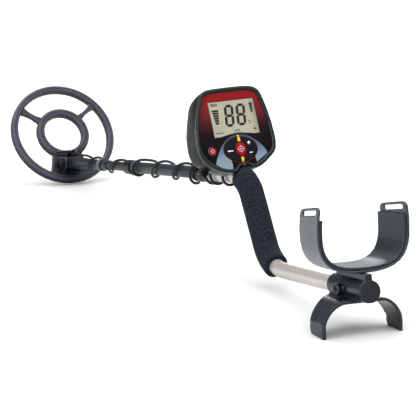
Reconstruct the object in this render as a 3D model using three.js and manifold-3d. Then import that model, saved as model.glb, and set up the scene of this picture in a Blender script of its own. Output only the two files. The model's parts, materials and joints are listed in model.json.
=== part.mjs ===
// Metal detector: a bent arm rod with a cuff and stand, a control housing, two sliding stems and a round coil.
// Millimetres, +Z up. The coil is at +Y, the arm cuff at -Y, and the object stands on z = 0 on the two feet
// of the stand and the rear edge of its tilted coil. The origin is the bottom centre of its box.
import * as THREE from 'three';
import Module from 'manifold-3d';
import { mergeVertices } from 'three/addons/utils/BufferGeometryUtils.js';

const wasm = await Module();
wasm.setup();

const { Vector2, Vector3, Matrix4 } = THREE;
const radians = THREE.MathUtils.degToRad;

// Driving dimensions
const STANDING_PITCH = 6.43;       // how far the rod droops forward when the object stands
const REAR_END = new Vector3(0, -607.57, 58.26); // rear end of the arm tube above the floor
const ARM_LENGTH = 267.2;          // rear end to the corner below the grip
const GRIP_LENGTH = 140.6;         // corner to corner
const GRIP_ANGLE = 60.7;           // rise of the grip from the arm tube
const STEM_ANGLE = -1.2;           // direction of the stems from the arm tube
const LOWER_BEND = 60;
const UPPER_BEND = 50;
const PIVOT_REACH = 762;           // upper corner to the coil pivot, along the stems
const GAP = 0.3;

const ROD = { outer: 11.1, inner: 10.05, end: 160 };
const MIDDLE = { outer: 9.7, inner: 8.35, start: 92, end: 438 };
const LOWER = { outer: 8.0, inner: 6.6, start: 330, end: 636 };
const TIP = { radius: 9.3, start: 556, halfWidth: 9.5, halfHeight: 11 };
const UPPER_COLLAR = { start: 143, end: 175, radius: 13.6 };
const LOWER_COLLAR = { start: 434, end: 474, radius: 12.6 };
const FOAM = { radius: 17.8, from: 0.31, to: 0.714 };

const COIL_ANGLE = 62.4;           // coil plane from the arm tube
const PIVOT_BACK = 67.9;           // pivot behind the coil centre
const PIVOT_HEIGHT = 16;           // pivot above the coil's middle plane
const COIL = { outer: 101.6, outerHole: 88.6, inner: 51.5, innerHole: 37.1, half: 8, webTop: 4, split: -4.6 };
const EAR = { inner: 11.6, outer: 16.6, radius: 11.5 };
const BOLT_RADIUS = 3.8;
const GLAND_Y = -PIVOT_BACK + 19.5;
const GLAND_SEAT = 8.6;

const BARREL = { radius: 14.6, flat: -13.8, start: 3.3, end: 85 };
const CUFF = { start: 12.4, end: 69, half: 65.5, bottom: 21.8, waist: 72, top: 107.5, topHalf: 62.5, wall: 3.4 };
const PAD = { from: 3.9, to: 7.6, top: 90.6 };
const FOOT_Y = 20;
const CLAMP_BOLT = { y: 50.3, z: -1 };

const FACE_CENTRE = new Vector3(-5.6, 363, 206.4); // centre of the display, from the rear end of the tube
const FACE_TILT = 73.6;
const FACE_TWIST = -3.8;
const BEZEL = { back: -6, front: 2.6, border: 6 };
const SHELL = { front: -6.3, back: -45, wall: 2.8 };
const BRACKET = { from: 31, to: 45, screw: 38, foot: 6 };
const KEYS = { w: -47, halfU: 26.4, halfW: 18, back: -2.9 };
const POWER = { u: -44.1, w: -45.4, radius: 5.6 };
const DISPLAY = { halfU: 36.7, halfW: 26.6 };
const PLUG = { u: -47.5, w: -67, n: -31, outU: -0.634, outW: -0.773 };

const CABLE_RADIUS = 2.25;
const CABLE_CLEARANCE = 1.1;
const STRAPS = { rod: 133, middle: 425.7, lower: 592 }; // middles of the cable straps along the stems

const looks = {
  aluminium: { color: 0xb9aea4, roughness: 0.35, metalness: 0.9 },
  steel: { color: 0x8d9093, roughness: 0.35, metalness: 1 },
  copper: { color: 0xa8643a, roughness: 0.4, metalness: 0.9 },
  foam: { color: 0x22242c, roughness: 0.95, metalness: 0 },
  plastic: { color: 0x34393d, roughness: 0.5, metalness: 0 },
  coil: { color: 0x4d4d55, roughness: 0.6, metalness: 0 },
  stem: { color: 0x3d4347, roughness: 0.5, metalness: 0 },
  housing: { color: 0x38403b, roughness: 0.45, metalness: 0 },
  face: { color: 0x5a1a1c, roughness: 0.35, metalness: 0 },
  screen: { color: 0xa9a68f, roughness: 0.3, metalness: 0 },
  window: { color: 0xcfd3cc, roughness: 0.08, metalness: 0 },
  red: { color: 0xa3231f, roughness: 0.4, metalness: 0 },
  key: { color: 0x25262a, roughness: 0.55, metalness: 0 },
  board: { color: 0x1d5a36, roughness: 0.5, metalness: 0 },
  rubber: { color: 0x141517, roughness: 0.8, metalness: 0 },
  strap: { color: 0x1a1b1e, roughness: 0.95, metalness: 0 },
};

// ---- solids ---------------------------------------------------------------------------------------------

function solid(geometry) {
  const bare = new THREE.BufferGeometry();
  bare.setAttribute('position', geometry.getAttribute('position').clone());
  if (geometry.index) bare.setIndex(geometry.index.clone());
  const merged = mergeVertices(bare, 1e-4);
  const vertProperties = new Float32Array(merged.getAttribute('position').array);
  const triVerts = new Uint32Array(merged.index.array);
  return new wasm.Manifold(new wasm.Mesh({ numProp: 3, vertProperties, triVerts }));
}

function geometryOf(body) {
  const result = body.getMesh();
  const geometry = new THREE.BufferGeometry();
  geometry.setAttribute('position', new THREE.BufferAttribute(new Float32Array(result.vertProperties), 3));
  geometry.setIndex(new THREE.BufferAttribute(new Uint32Array(result.triVerts), 1));
  geometry.computeVertexNormals();
  return geometry;
}

function joined(...bodies) {
  return bodies.reduce((sum, body) => sum.add(body));
}

function cut(body, ...tools) {
  return tools.reduce((rest, tool) => rest.subtract(tool), body);
}

function box(x0, x1, y0, y1, z0, z1, turn = null) {
  const geometry = new THREE.BoxGeometry(x1 - x0, y1 - y0, z1 - z0);
  geometry.translate((x0 + x1) / 2, (y0 + y1) / 2, (z0 + z1) / 2);
  if (turn) geometry.applyMatrix4(turn);
  return solid(geometry);
}

function cylinder(radius, from, to, sides = 24, endRadius = radius) {
  const axis = new Vector3().subVectors(to, from);
  const geometry = new THREE.CylinderGeometry(endRadius, radius, axis.length(), sides);
  const turn = new THREE.Quaternion().setFromUnitVectors(new Vector3(0, 1, 0), axis.normalize());
  geometry.applyQuaternion(turn);
  geometry.translate((from.x + to.x) / 2, (from.y + to.y) / 2, (from.z + to.z) / 2);
  return solid(geometry);
}

function alongX(radius, x0, x1, y, z, sides = 24) {
  return cylinder(radius, new Vector3(x0, y, z), new Vector3(x1, y, z), sides);
}

function alongY(radius, y0, y1, x = 0, z = 0, sides = 24) {
  return cylinder(radius, new Vector3(x, y0, z), new Vector3(x, y1, z), sides);
}

function alongZ(radius, z0, z1, x, y, sides = 20) {
  return cylinder(radius, new Vector3(x, y, z0), new Vector3(x, y, z1), sides);
}

function pipe(outer, inner, y0, y1, sides = 24) {
  return cut(alongY(outer, y0, y1, 0, 0, sides), alongY(inner, y0 - 1, y1 + 1, 0, 0, sides));
}

// A closed profile of [radius, height] points turned about the Z axis.
function turned(profile, sides = 48) {
  const points = profile.map(([radius, height]) => new Vector2(radius, height));
  points.push(points[0].clone());
  return solid(new THREE.LatheGeometry(points, sides).rotateX(Math.PI / 2));
}

const AXIS_X_TO_Y = new Matrix4().makeBasis(new Vector3(0, 1, 0), new Vector3(0, 0, 1), new Vector3(1, 0, 0));

// The same for a piece turned about the stem, where the height is the distance along the stem.
function turnedOnStem(profile, sides = 24) {
  const points = profile.map(([radius, height]) => new Vector2(radius, height));
  points.push(points[0].clone());
  return solid(new THREE.LatheGeometry(points, sides));
}

function shapeOf(points) {
  return new THREE.Shape(points.map(([x, y]) => new Vector2(x, y)));
}

function plate(shape, z0, z1, curveSegments = 8) {
  const geometry = new THREE.ExtrudeGeometry(shape, { depth: z1 - z0, bevelEnabled: false, curveSegments });
  geometry.translate(0, 0, z0);
  return solid(geometry);
}

// A shape drawn in the side view (y, z), from x0 to x1.
function sidePlate(shape, x0, x1, curveSegments = 8) {
  const geometry = new THREE.ExtrudeGeometry(shape, { depth: x1 - x0, bevelEnabled: false, curveSegments });
  geometry.translate(0, 0, x0);
  geometry.applyMatrix4(AXIS_X_TO_Y);
  return solid(geometry);
}

// A shape drawn in the front view (x, z), from y0 to y1.
function frontGeometry(shape, y0, y1, curveSegments = 8, steps = 1) {
  const settings = { depth: y1 - y0, bevelEnabled: false, curveSegments, steps };
  const geometry = new THREE.ExtrudeGeometry(shape, settings);
  geometry.rotateX(Math.PI / 2);
  geometry.translate(0, y1, 0);
  return geometry;
}

function disc(radius, sides) {
  return new THREE.Shape().absarc(0, 0, radius, 0, 2 * Math.PI);
}

function sweep(shape, curve, steps, curveSegments) {
  const settings = { steps, curveSegments, bevelEnabled: false, extrudePath: curve };
  return new THREE.ExtrudeGeometry(shape, settings);
}

// Rings of points, all in the same order, counter-clockwise about the direction in which they follow
// each other, closed by a flat face at each end.
function loft(rings) {
  const count = rings[0].length;
  const positions = rings.flat().flatMap((point) => [point.x, point.y, point.z]);
  const index = [];
  for (let ring = 0; ring < rings.length - 1; ring += 1) {
    for (let i = 0; i < count; i += 1) {
      const a = ring * count + i;
      const b = ring * count + ((i + 1) % count);
      index.push(a, b, b + count, a, b + count, a + count);
    }
  }
  const flat = rings[0].map((point) => point.userFlat ?? new Vector2(point.x, point.y));
  const last = (rings.length - 1) * count;
  for (const [a, b, c] of THREE.ShapeUtils.triangulateShape(flat, [])) {
    index.push(c, b, a, last + a, last + b, last + c);
  }
  const geometry = new THREE.BufferGeometry();
  geometry.setAttribute('position', new THREE.Float32BufferAttribute(positions, 3));
  geometry.setIndex(index);
  return solid(geometry);
}

// ---- frames ---------------------------------------------------------------------------------------------

const object = new THREE.Group();
const rod = new THREE.Group();     // rear end of the arm tube, +Y along it
rod.position.copy(REAR_END);
rod.rotation.x = -radians(STANDING_PITCH);
object.add(rod);

const gripDirection = new Vector3(0, Math.cos(radians(GRIP_ANGLE)), Math.sin(radians(GRIP_ANGLE)));
const stemDirection = new Vector3(0, Math.cos(radians(STEM_ANGLE)), Math.sin(radians(STEM_ANGLE)));
const lowerCorner = new Vector3(0, ARM_LENGTH, 0);
const upperCorner = lowerCorner.clone().addScaledVector(gripDirection, GRIP_LENGTH);

const stem = new THREE.Group();    // upper corner of the rod, +Y along the stems
stem.position.copy(upperCorner);
stem.rotation.x = radians(STEM_ANGLE);
rod.add(stem);

const coil = new THREE.Group();    // centre of the coil, +Z out of its upper side
const coilMatrix = new Matrix4().makeRotationX(radians(COIL_ANGLE));
const pivotOfRod = upperCorner.clone().addScaledVector(stemDirection, PIVOT_REACH);
coil.position.copy(pivotOfRod).sub(new Vector3(0, -PIVOT_BACK, PIVOT_HEIGHT).applyMatrix4(coilMatrix));
coil.rotation.x = radians(COIL_ANGLE);
rod.add(coil);

const face = new THREE.Group();    // centre of the display, +X right, +Y up the face, +Z out of it
const faceTurn = new Matrix4().makeRotationY(radians(FACE_TWIST)).multiply(
  new Matrix4().makeRotationX(radians(FACE_TILT)));
face.position.copy(FACE_CENTRE);
face.quaternion.setFromRotationMatrix(faceTurn);
rod.add(face);
const faceMatrix = faceTurn.clone().setPosition(FACE_CENTRE);
const stemMatrix = new Matrix4().makeRotationX(radians(STEM_ANGLE)).setPosition(upperCorner);
const toStemFrame = stemMatrix.clone().invert();

function add(group, name, body, look) {
  const mesh = new THREE.Mesh(geometryOf(body), new THREE.MeshStandardMaterial(looks[look]));
  mesh.name = name;
  group.add(mesh);
}

// ---- rod, grip and stems --------------------------------------------------------------------------------

class BendCurve extends THREE.Curve {
  // An arc of the given radius, tangent to two directions that meet at a corner.
  constructor(corner, before, after, radius) {
    super();
    this.turn = before.angleTo(after);
    this.reach = radius * Math.tan(this.turn / 2);
    this.start = corner.clone().addScaledVector(before, -this.reach);
    this.before = before;
    this.inward = after.clone().addScaledVector(before, -after.dot(before)).normalize();
    this.radius = radius;
  }

  getPoint(t, target = new Vector3()) {
    const angle = this.turn * t;
    return target.copy(this.start)
      .addScaledVector(this.before, this.radius * Math.sin(angle))
      .addScaledVector(this.inward, this.radius * (1 - Math.cos(angle)));
  }
}

const armDirection = new Vector3(0, 1, 0);
const lowerBend = new BendCurve(lowerCorner, armDirection, gripDirection, LOWER_BEND);
const upperBend = new BendCurve(upperCorner, gripDirection, stemDirection, UPPER_BEND);
const alongStem = (distance) => upperCorner.clone().addScaledVector(stemDirection, distance);

// Rings of a radius round the centre line of the rod: its start, both bends and its front end.
function rodRing(centre, tangent, radius, sides) {
  const side = new Vector3(1, 0, 0);
  const down = new Vector3().crossVectors(tangent, side);
  return Array.from({ length: sides }, (_, i) => {
    const angle = (2 * Math.PI * i) / sides;
    const c = radius * Math.cos(angle);
    const d = radius * Math.sin(angle);
    const point = centre.clone().addScaledVector(side, c).addScaledVector(down, d);
    point.userFlat = new Vector2(c, d);
    return point;
  });
}

function bendRings(bend, radius, sides, from = 0, to = 1) {
  const steps = Math.max(2, Math.round(7 * (to - from)));
  return Array.from({ length: steps + 1 }, (_, i) => {
    const t = from + ((to - from) * i) / steps;
    return rodRing(bend.getPoint(t), bend.getTangent(t), radius, sides);
  });
}

function rodStretch(radius, from, to, sides) {
  return loft([
    rodRing(new Vector3(0, from, 0), armDirection, radius, sides),
    ...bendRings(lowerBend, radius, sides),
    ...bendRings(upperBend, radius, sides),
    rodRing(alongStem(to), stemDirection, radius, sides),
  ]);
}

function makeRod() {
  const start = BARREL.start + 0.5;
  const hole = alongX(2.9, -30, 30, CLAMP_BOLT.y, CLAMP_BOLT.z, 12);
  return cut(rodStretch(ROD.outer, start, ROD.end, 20), rodStretch(ROD.inner, start - 1, ROD.end + 1, 20), hole);
}

function makeFoam() {
  const stretch = (radius, from, to) => loft([
    ...bendRings(lowerBend, radius, 20, from, 1),
    ...bendRings(upperBend, radius, 20, 0, to),
  ]);
  return cut(stretch(FOAM.radius, FOAM.from, FOAM.to), stretch(ROD.outer + 0.45, FOAM.from - 0.03, FOAM.to + 0.03));
}

function makeEndPlug() {
  const cap = cut(alongY(BARREL.radius - 0.3, 0, 3, 0, 0, 28), box(-20, 20, -1, 4, -20, BARREL.flat));
  return joined(cap, alongY(ROD.inner - 0.4, 2.5, 14));
}

function makeUpperCollar() {
  const { start, end, radius } = UPPER_COLLAR;
  return turnedOnStem([
    [ROD.outer + GAP, start], [radius - 1, start], [radius, start + 3], [radius, end - 4],
    [radius - 1, end], [MIDDLE.outer + GAP, end], [MIDDLE.outer + GAP, end - 2], [12.3, end - 2.2],
    [12.3, ROD.end - 1], [ROD.outer + GAP, ROD.end - 2.2],
  ], 24);
}

function makeUpperCollet() {
  const ring = pipe(11.9, MIDDLE.outer + 0.35, ROD.end + 0.4, UPPER_COLLAR.end - 2.8);
  return cut(ring, box(-0.6, 0.6, 150, 180, -20, 0));
}

function makeMiddleStem() {
  return pipe(MIDDLE.outer, MIDDLE.inner, MIDDLE.start, MIDDLE.end);
}

function makeLowerCollar() {
  const { start, end, radius } = LOWER_COLLAR;
  return turnedOnStem([
    [MIDDLE.outer + GAP, start], [radius - 1, start], [radius, start + 3], [radius, end - 12],
    [radius - 2.6, end], [LOWER.outer + GAP, end], [LOWER.outer + GAP, MIDDLE.end + 11],
    [11.2, MIDDLE.end + 10.8], [11.2, MIDDLE.end - 0.4], [MIDDLE.outer + GAP, MIDDLE.end - 1],
  ], 24);
}

function makeLowerCollet() {
  const ring = pipe(10.8, LOWER.outer + 0.35, MIDDLE.end + 0.4, MIDDLE.end + 10.2);
  return cut(ring, box(-0.6, 0.6, MIDDLE.end - 5, MIDDLE.end + 15, -20, 0));
}

function makeLowerStem() {
  return pipe(LOWER.outer, LOWER.inner, LOWER.start, LOWER.end);
}

function tipRing(distance, halfWidth, halfHeight, power) {
  // An oval that goes from round (power 1) to nearly square (power 0.5).
  const sides = 24;
  return Array.from({ length: sides }, (_, i) => {
    const angle = -(2 * Math.PI * i) / sides;
    const c = Math.cos(angle);
    const s = Math.sin(angle);
    const x = halfWidth * Math.sign(c) * Math.abs(c) ** power;
    const z = halfHeight * Math.sign(s) * Math.abs(s) ** power;
    const point = new Vector3(x, distance, z);
    point.userFlat = new Vector2(x, -z);
    return point;
  });
}

function makeStemTip() {
  const { radius, start, halfWidth, halfHeight } = TIP;
  const body = loft([
    tipRing(start, radius - 0.6, radius - 0.6, 1),
    tipRing(start + 2, radius, radius, 1),
    tipRing(652, radius, radius, 1),
    tipRing(686, halfWidth - 0.2, halfHeight - 0.9, 0.8),
    tipRing(716, halfWidth, halfHeight, 0.55),
    tipRing(PIVOT_REACH - 6, halfWidth, halfHeight, 0.55),
  ]);
  const tongue = joined(
    alongX(halfHeight, -halfWidth, halfWidth, PIVOT_REACH, 0, 28),
    box(-halfWidth, halfWidth, PIVOT_REACH - 12, PIVOT_REACH, -halfHeight * 0.93, halfHeight * 0.93),
  );
  const bore = alongY(LOWER.outer + GAP, start - 1, LOWER.end + 2);
  return cut(joined(body, tongue), bore, alongX(BOLT_RADIUS + 0.4, -20, 20, PIVOT_REACH, 0, 16));
}

// ---- arm cuff and stand ---------------------------------------------------------------------------------

function cuffLine(shape, inset, side, upward) {
  // One half of the U, between its top edge and the middle of its bottom.
  const half = CUFF.half - inset;
  const top = [side * (CUFF.topHalf - inset), CUFF.top];
  const bottom = CUFF.bottom + inset;
  const waist = [side * half, CUFF.waist];
  const high = [side * half, CUFF.waist - 38];
  const low = [side * (half - 21.5), bottom];
  const bulge = [side * (half + 0.3), CUFF.waist + 18];
  if (upward) {
    shape.bezierCurveTo(...low, ...high, ...waist);
    shape.quadraticCurveTo(...bulge, ...top);
  } else {
    shape.quadraticCurveTo(...bulge, ...waist);
    shape.bezierCurveTo(...high, ...low, 0, bottom);
  }
}

function cuffBand(outerInset, innerInset) {
  const shape = new THREE.Shape();
  shape.moveTo(-(CUFF.topHalf - outerInset), CUFF.top);
  cuffLine(shape, outerInset, -1, false);
  cuffLine(shape, outerInset, 1, true);
  shape.lineTo(CUFF.topHalf - innerInset, CUFF.top);
  cuffLine(shape, innerInset, 1, false);
  cuffLine(shape, innerInset, -1, true);
  const geometry = frontGeometry(shape, CUFF.start, CUFF.end, 14);
  // The cuff is a little narrower at its front, as a forearm is.
  const positions = geometry.getAttribute('position');
  for (let i = 0; i < positions.count; i += 1) {
    const forward = (positions.getY(i) - CUFF.start) / (CUFF.end - CUFF.start);
    positions.setX(i, positions.getX(i) * (1 - 0.083 * forward));
  }
  return solid(geometry);
}

function makeCuff() {
  const side = new THREE.Shape();
  side.moveTo(CUFF.start - 1, 10);
  side.lineTo(CUFF.end + 1, 10);
  side.lineTo(CUFF.end + 1, 60);
  side.lineTo(CUFF.end, 93);
  side.quadraticCurveTo(CUFF.end, 101, CUFF.end - 9, 101.8);
  side.lineTo(CUFF.start + 9, 106.3);
  side.quadraticCurveTo(CUFF.start, 107, CUFF.start, 98);
  side.lineTo(CUFF.start - 1, 60);
  const slot = new THREE.Shape();
  slot.moveTo(23, 102.4);
  slot.absarc(23, 99.5, 2.9, Math.PI / 2, (3 * Math.PI) / 2);
  slot.lineTo(57, 93.1);
  slot.absarc(57, 96, 2.9, -Math.PI / 2, Math.PI / 2);
  const band = cuffBand(0, CUFF.wall).intersect(sidePlate(side, -80, 80));
  return cut(band, sidePlate(slot, -80, 80), ...cuffScrewHoles(1.7), ...cuffScrewHoles(3.2, 23.6));
}

const CUFF_SCREWS = [26, 56];

function cuffScrewHoles(radius, from = 10) {
  return CUFF_SCREWS.map((y) => alongZ(radius, from, 40, 0, y, 12));
}

function makeCuffPad() {
  const band = cuffBand(PAD.from, PAD.to);
  return cut(band, box(-80, 80, 0, 100, PAD.top, 130), box(-80, 80, 0, CUFF.start + 0.8, 0, 130));
}

function makeCuffScrew(y) {
  return joined(alongZ(2.9, 23.9, 25, 0, y, 12), alongZ(1.4, 15.2, 24.4, 0, y, 12));
}

function legShape() {
  const shape = new THREE.Shape();
  shape.moveTo(0, -8);
  shape.lineTo(12, -10.2);
  shape.lineTo(24, -10.6);
  shape.bezierCurveTo(40, -11, 57.5, -28, 57.5, -43);
  shape.lineTo(57.5, -64);
  shape.lineTo(52.5, -64);
  shape.lineTo(52.5, -43);
  shape.bezierCurveTo(52.5, -31, 40, -15.4, 25, -15.1);
  shape.lineTo(-25, -15.1);
  shape.bezierCurveTo(-40, -15.4, -52.5, -31, -52.5, -43);
  shape.lineTo(-52.5, -64);
  shape.lineTo(-57.5, -64);
  shape.lineTo(-57.5, -43);
  shape.bezierCurveTo(-57.5, -28, -40, -11, -24, -10.6);
  shape.lineTo(-12, -10.2);
  return shape;
}

function footCorner() {
  // Rounds the front lower corner of both feet.
  const shape = new THREE.Shape();
  shape.moveTo(70, -70);
  shape.lineTo(40, -70);
  shape.lineTo(40, -58.6);
  shape.quadraticCurveTo(49, -57.6, 52.4, -47);
  shape.lineTo(52.4, -38);
  shape.lineTo(70, -38);
  return shape;
}

function makeStand() {
  const legs = solid(frontGeometry(legShape(), 14, 98, 8));
  const plan = new THREE.Shape();
  plan.moveTo(-11, 84);
  plan.quadraticCurveTo(-24, 66, -60, 52.4);
  plan.lineTo(-60, 20);
  plan.lineTo(-24, 14);
  plan.lineTo(24, 14);
  plan.lineTo(60, 20);
  plan.lineTo(60, 52.4);
  plan.quadraticCurveTo(24, 66, 11, 84);
  const pitch = radians(STANDING_PITCH);
  const floor = new Matrix4().makeRotationX(radians(STANDING_PITCH)).setPosition(0, FOOT_Y,
    -(REAR_END.z - FOOT_Y * Math.sin(pitch)) / Math.cos(pitch));
  const barrel = alongY(BARREL.radius, BARREL.start, BARREL.end, 0, 0, 28);
  const web = box(-5, 5, 4, 76, 12, CUFF.bottom - 0.35);
  const boss = alongX(7.8, -21, 0, CLAMP_BOLT.y, CLAMP_BOLT.z, 20);
  const nutBoss = alongX(7.8, 0, 19, CLAMP_BOLT.y, CLAMP_BOLT.z, 20);
  const whole = joined(legs.intersect(plate(plan, -70, 0)), barrel, web, boss, nutBoss);
  return cut(
    whole,
    box(-80, 80, -60, 60, -30, 0, floor),
    alongY(ROD.outer + GAP, -10, BARREL.end + 1, 0, 0, 24),
    alongX(2.9, -30, 30, CLAMP_BOLT.y, CLAMP_BOLT.z, 12),
    alongX(5.2, -30, -17, CLAMP_BOLT.y, CLAMP_BOLT.z, 20),
    alongX(5.2, 15.5, 30, CLAMP_BOLT.y, CLAMP_BOLT.z, 6),
    box(-20, 20, 0, 110, -30, BARREL.flat - 1.3),
    box(-20, 20, 0, 14, -30, BARREL.flat),
    sidePlate(footCorner(), -70, 70),
    ...CUFF_SCREWS.map((y) => alongZ(1.7, 14.8, 40, 0, y, 12)),
  );
}

function makeClampBolt() {
  const { y, z } = CLAMP_BOLT;
  const body = joined(alongX(4.7, -20.6, -17.4, y, z, 20), alongX(2.5, -18, 20.5, y, z, 12));
  return cut(body, alongX(2.6, -22, -18.8, y, z, 6));
}

function makeClampNut() {
  const { y, z } = CLAMP_BOLT;
  return cut(alongX(4.7, 15.9, 19.5, y, z, 6), alongX(2.8, 10, 25, y, z, 12));
}

// ---- search coil ----------------------------------------------------------------------------------------

function ringProfile(hole, outer, bottom) {
  return [
    [hole, bottom], [outer, bottom], [outer, 3.4], [outer - 1.1, 6.4], [outer - 3.6, COIL.half],
    [hole + 3.2, COIL.half], [hole + 0.9, 6.4], [hole, 3.4],
  ];
}

function spokeShape(turn) {
  // Along +X from the inner ring to the outer one, flared where it meets both.
  const shape = new THREE.Shape();
  const near = 47;
  const far = 92;
  shape.moveTo(near, -7.6);
  shape.quadraticCurveTo(57, -3.6, 68, -3.5);
  shape.quadraticCurveTo(82, -3.5, far, -8.6);
  shape.lineTo(far, 8.6);
  shape.quadraticCurveTo(82, 3.5, 68, 3.5);
  shape.quadraticCurveTo(57, 3.6, near, 7.6);
  const points = shape.getPoints(4).map((point) => point.rotateAround(new Vector2(), turn));
  return new THREE.Shape(points);
}

const SPOKE_TURNS = [radians(90 - 51), radians(90 + 55)];

function webShape() {
  return shapeOf([
    [-28, -41], [-31.5, -57], [-35, -70], [-40.5, -84], [-28, -89], [-12, -94],
    [12, -94], [28, -89], [40.5, -84], [35, -70], [31.5, -57], [28, -41], [14, -46.5], [-14, -46.5],
  ]);
}

function earShape() {
  const shape = new THREE.Shape();
  const y = -PIVOT_BACK;
  const half = EAR.radius;
  shape.moveTo(y - 15, COIL.webTop - 1);
  shape.lineTo(y + 15, COIL.webTop - 1);
  shape.lineTo(y + half, PIVOT_HEIGHT);
  shape.absarc(y, PIVOT_HEIGHT, half, 0, Math.PI);
  return shape;
}

function makeCoilHousing() {
  const rings = joined(
    turned(ringProfile(COIL.outerHole, COIL.outer, COIL.split)),
    turned(ringProfile(COIL.innerHole, COIL.inner, COIL.split), 36),
    ...SPOKE_TURNS.map((turn) => plate(spokeShape(turn), COIL.split, 5.4)),
    plate(webShape(), COIL.split, COIL.webTop),
  );
  const ears = [-1, 1].map((side) => sidePlate(earShape(), Math.min(side * EAR.inner, side * EAR.outer),
    Math.max(side * EAR.inner, side * EAR.outer)));
  const lip = box(-22, 22, -42, -39.4, 0, COIL.half + 2.5);
  const seat = alongZ(5.2, 0, GLAND_SEAT, 0, GLAND_Y, 20);
  return cut(
    joined(rings, ...ears, lip, seat),
    alongX(13, -28, -EAR.outer - 0.2, -PIVOT_BACK, PIVOT_HEIGHT, 28),
    turned([[91, -6], [99.2, -6], [99.2, 4.6], [91, 4.6]]),
    turned([[39.6, -6], [49, -6], [49, 4.6], [39.6, 4.6]], 36),
    alongX(BOLT_RADIUS + 0.4, -30, 30, -PIVOT_BACK, PIVOT_HEIGHT, 16),
    alongZ(2.8, -6, 12, 0, GLAND_Y, 16),
  );
}

function makeCoilCover() {
  const bottom = -COIL.half;
  const top = COIL.split - GAP;
  const edge = (hole, outer) => [[hole, top], [hole, bottom + 1.6], [hole + 1.4, bottom],
    [outer - 1.4, bottom], [outer, bottom + 1.6], [outer, top]];
  return joined(
    turned(edge(COIL.outerHole, COIL.outer)),
    turned(edge(COIL.innerHole, COIL.inner), 36),
    ...SPOKE_TURNS.map((turn) => plate(spokeShape(turn), top - 1.3, top)),
    plate(webShape(), bottom + 0.6, top),
  );
}

function makeWinding(inner, outer, sides) {
  return turned([[inner, -4.4], [outer, -4.4], [outer, 3.6], [inner, 3.6]], sides);
}

function makeGland() {
  const body = joined(
    alongZ(2.4, 4.9, 9.5, 0, GLAND_Y, 16),
    cylinder(4.4, new Vector3(0, GLAND_Y, GLAND_SEAT + GAP), new Vector3(0, GLAND_Y, 15), 16, 3.6),
    cylinder(3.6, new Vector3(0, GLAND_Y, 15), new Vector3(0, GLAND_Y - 1, 22), 16, 3.1),
  );
  return body;
}

function makeCoilBolt() {
  const y = -PIVOT_BACK;
  const z = PIVOT_HEIGHT;
  return joined(alongX(7.5, 17, 21.5, y, z, 20), alongX(BOLT_RADIUS, -23.5, 17.5, y, z, 16));
}

function makeCoilKnob() {
  const y = -PIVOT_BACK;
  const z = PIVOT_HEIGHT;
  const lobes = Array.from({ length: 8 }, (_, i) => {
    const angle = (i * Math.PI) / 4;
    return alongX(3, -26, -15, y + 13.6 * Math.cos(angle), z + 13.6 * Math.sin(angle), 10);
  });
  const body = joined(alongX(12.4, -24.6, -17, y, z, 32));
  return cut(body, ...lobes, alongX(BOLT_RADIUS + 0.35, -23.9, -10, y, z, 16));
}

function makeWasher(side) {
  const y = -PIVOT_BACK;
  const near = side * (TIP.halfWidth + 0.3);
  const far = side * (EAR.inner - 0.3);
  const from = Math.min(near, far);
  const to = Math.max(near, far);
  return cut(alongX(9.5, from, to, y, PIVOT_HEIGHT, 24),
    alongX(BOLT_RADIUS + 0.4, -30, 30, y, PIVOT_HEIGHT, 16));
}

// ---- control housing ------------------------------------------------------------------------------------

// Right half of the outline from the top centre to the top of the notch, outside the bezel and inside it.
const OUTER_LINE = [
  [[0, 45.2]], [[9, 45.2], [17, 45.1], [26, 44.7]], [[38.5, 44.2], [46, 40.5], [49, 31.5]],
  [[52.5, 21], [57.8, -8], [57.8, -32]], [[57.8, -47.5], [55.4, -56.5], [46.6, -63.6]],
  [[38, -70.5], [30, -77.5], [20, -79.3]], [[14, -80], [11.5, -79], [10, -76.8]],
  [[8, -72.5], [5, -68.8], [0, -68.8]],
];
const INNER_LINE = [
  [[0, 39.4]], [[8, 39.4], [16, 39.3], [24, 39]], [[34, 38.7], [40.4, 35.4], [43.4, 28.6]],
  [[47, 18.6], [52, -8], [52, -32]], [[52, -44.6], [49.6, -51.8], [42.8, -57.3]],
  [[34, -64.5], [27, -71.5], [18, -73]], [[14.6, -73.6], [13, -72.6], [11.6, -71]],
  [[8.6, -67.6], [5, -66.4], [0, -66.4]],
];

// Left half, with x measured to the left: it is fuller than the right half beside the power key.
const OUTER_LEFT = [
  [[0, 45.2]], [[9, 45.2], [17, 45.1], [28, 44.6]], [[40, 44.1], [45.6, 40.8], [48.6, 32]],
  [[53, 19], [64.5, -6], [65.6, -32]], [[66.2, -48], [62, -60], [53, -66.8]],
  [[43, -74.5], [31, -79.6], [20, -80]], [[14, -80.4], [11.5, -79.2], [10, -76.8]],
  [[8, -72.5], [5, -68.8], [0, -68.8]],
];
const INNER_LEFT = [
  [[0, 39.4]], [[8, 39.4], [16, 39.3], [27, 38.9]], [[37.5, 38.4], [41.5, 36], [44.2, 29]],
  [[48, 18], [60, -4], [60.6, -31]], [[61, -45], [57.5, -55], [49.5, -61.4]],
  [[40, -69], [30, -74.2], [18, -74.8]], [[14.6, -75], [13, -73.4], [11.6, -71]],
  [[8.6, -67.6], [5, -66.4], [0, -66.4]],
];

function halfOutline(outer, inner, share) {
  const mix = (k, i) => outer[k][i].map((value, axis) => value + share * (inner[k][i][axis] - value));
  const shape = new THREE.Shape();
  shape.moveTo(...mix(0, 0));
  for (let k = 1; k < outer.length; k += 1) shape.bezierCurveTo(...mix(k, 0), ...mix(k, 1), ...mix(k, 2));
  return shape.getPoints(4);
}

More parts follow.
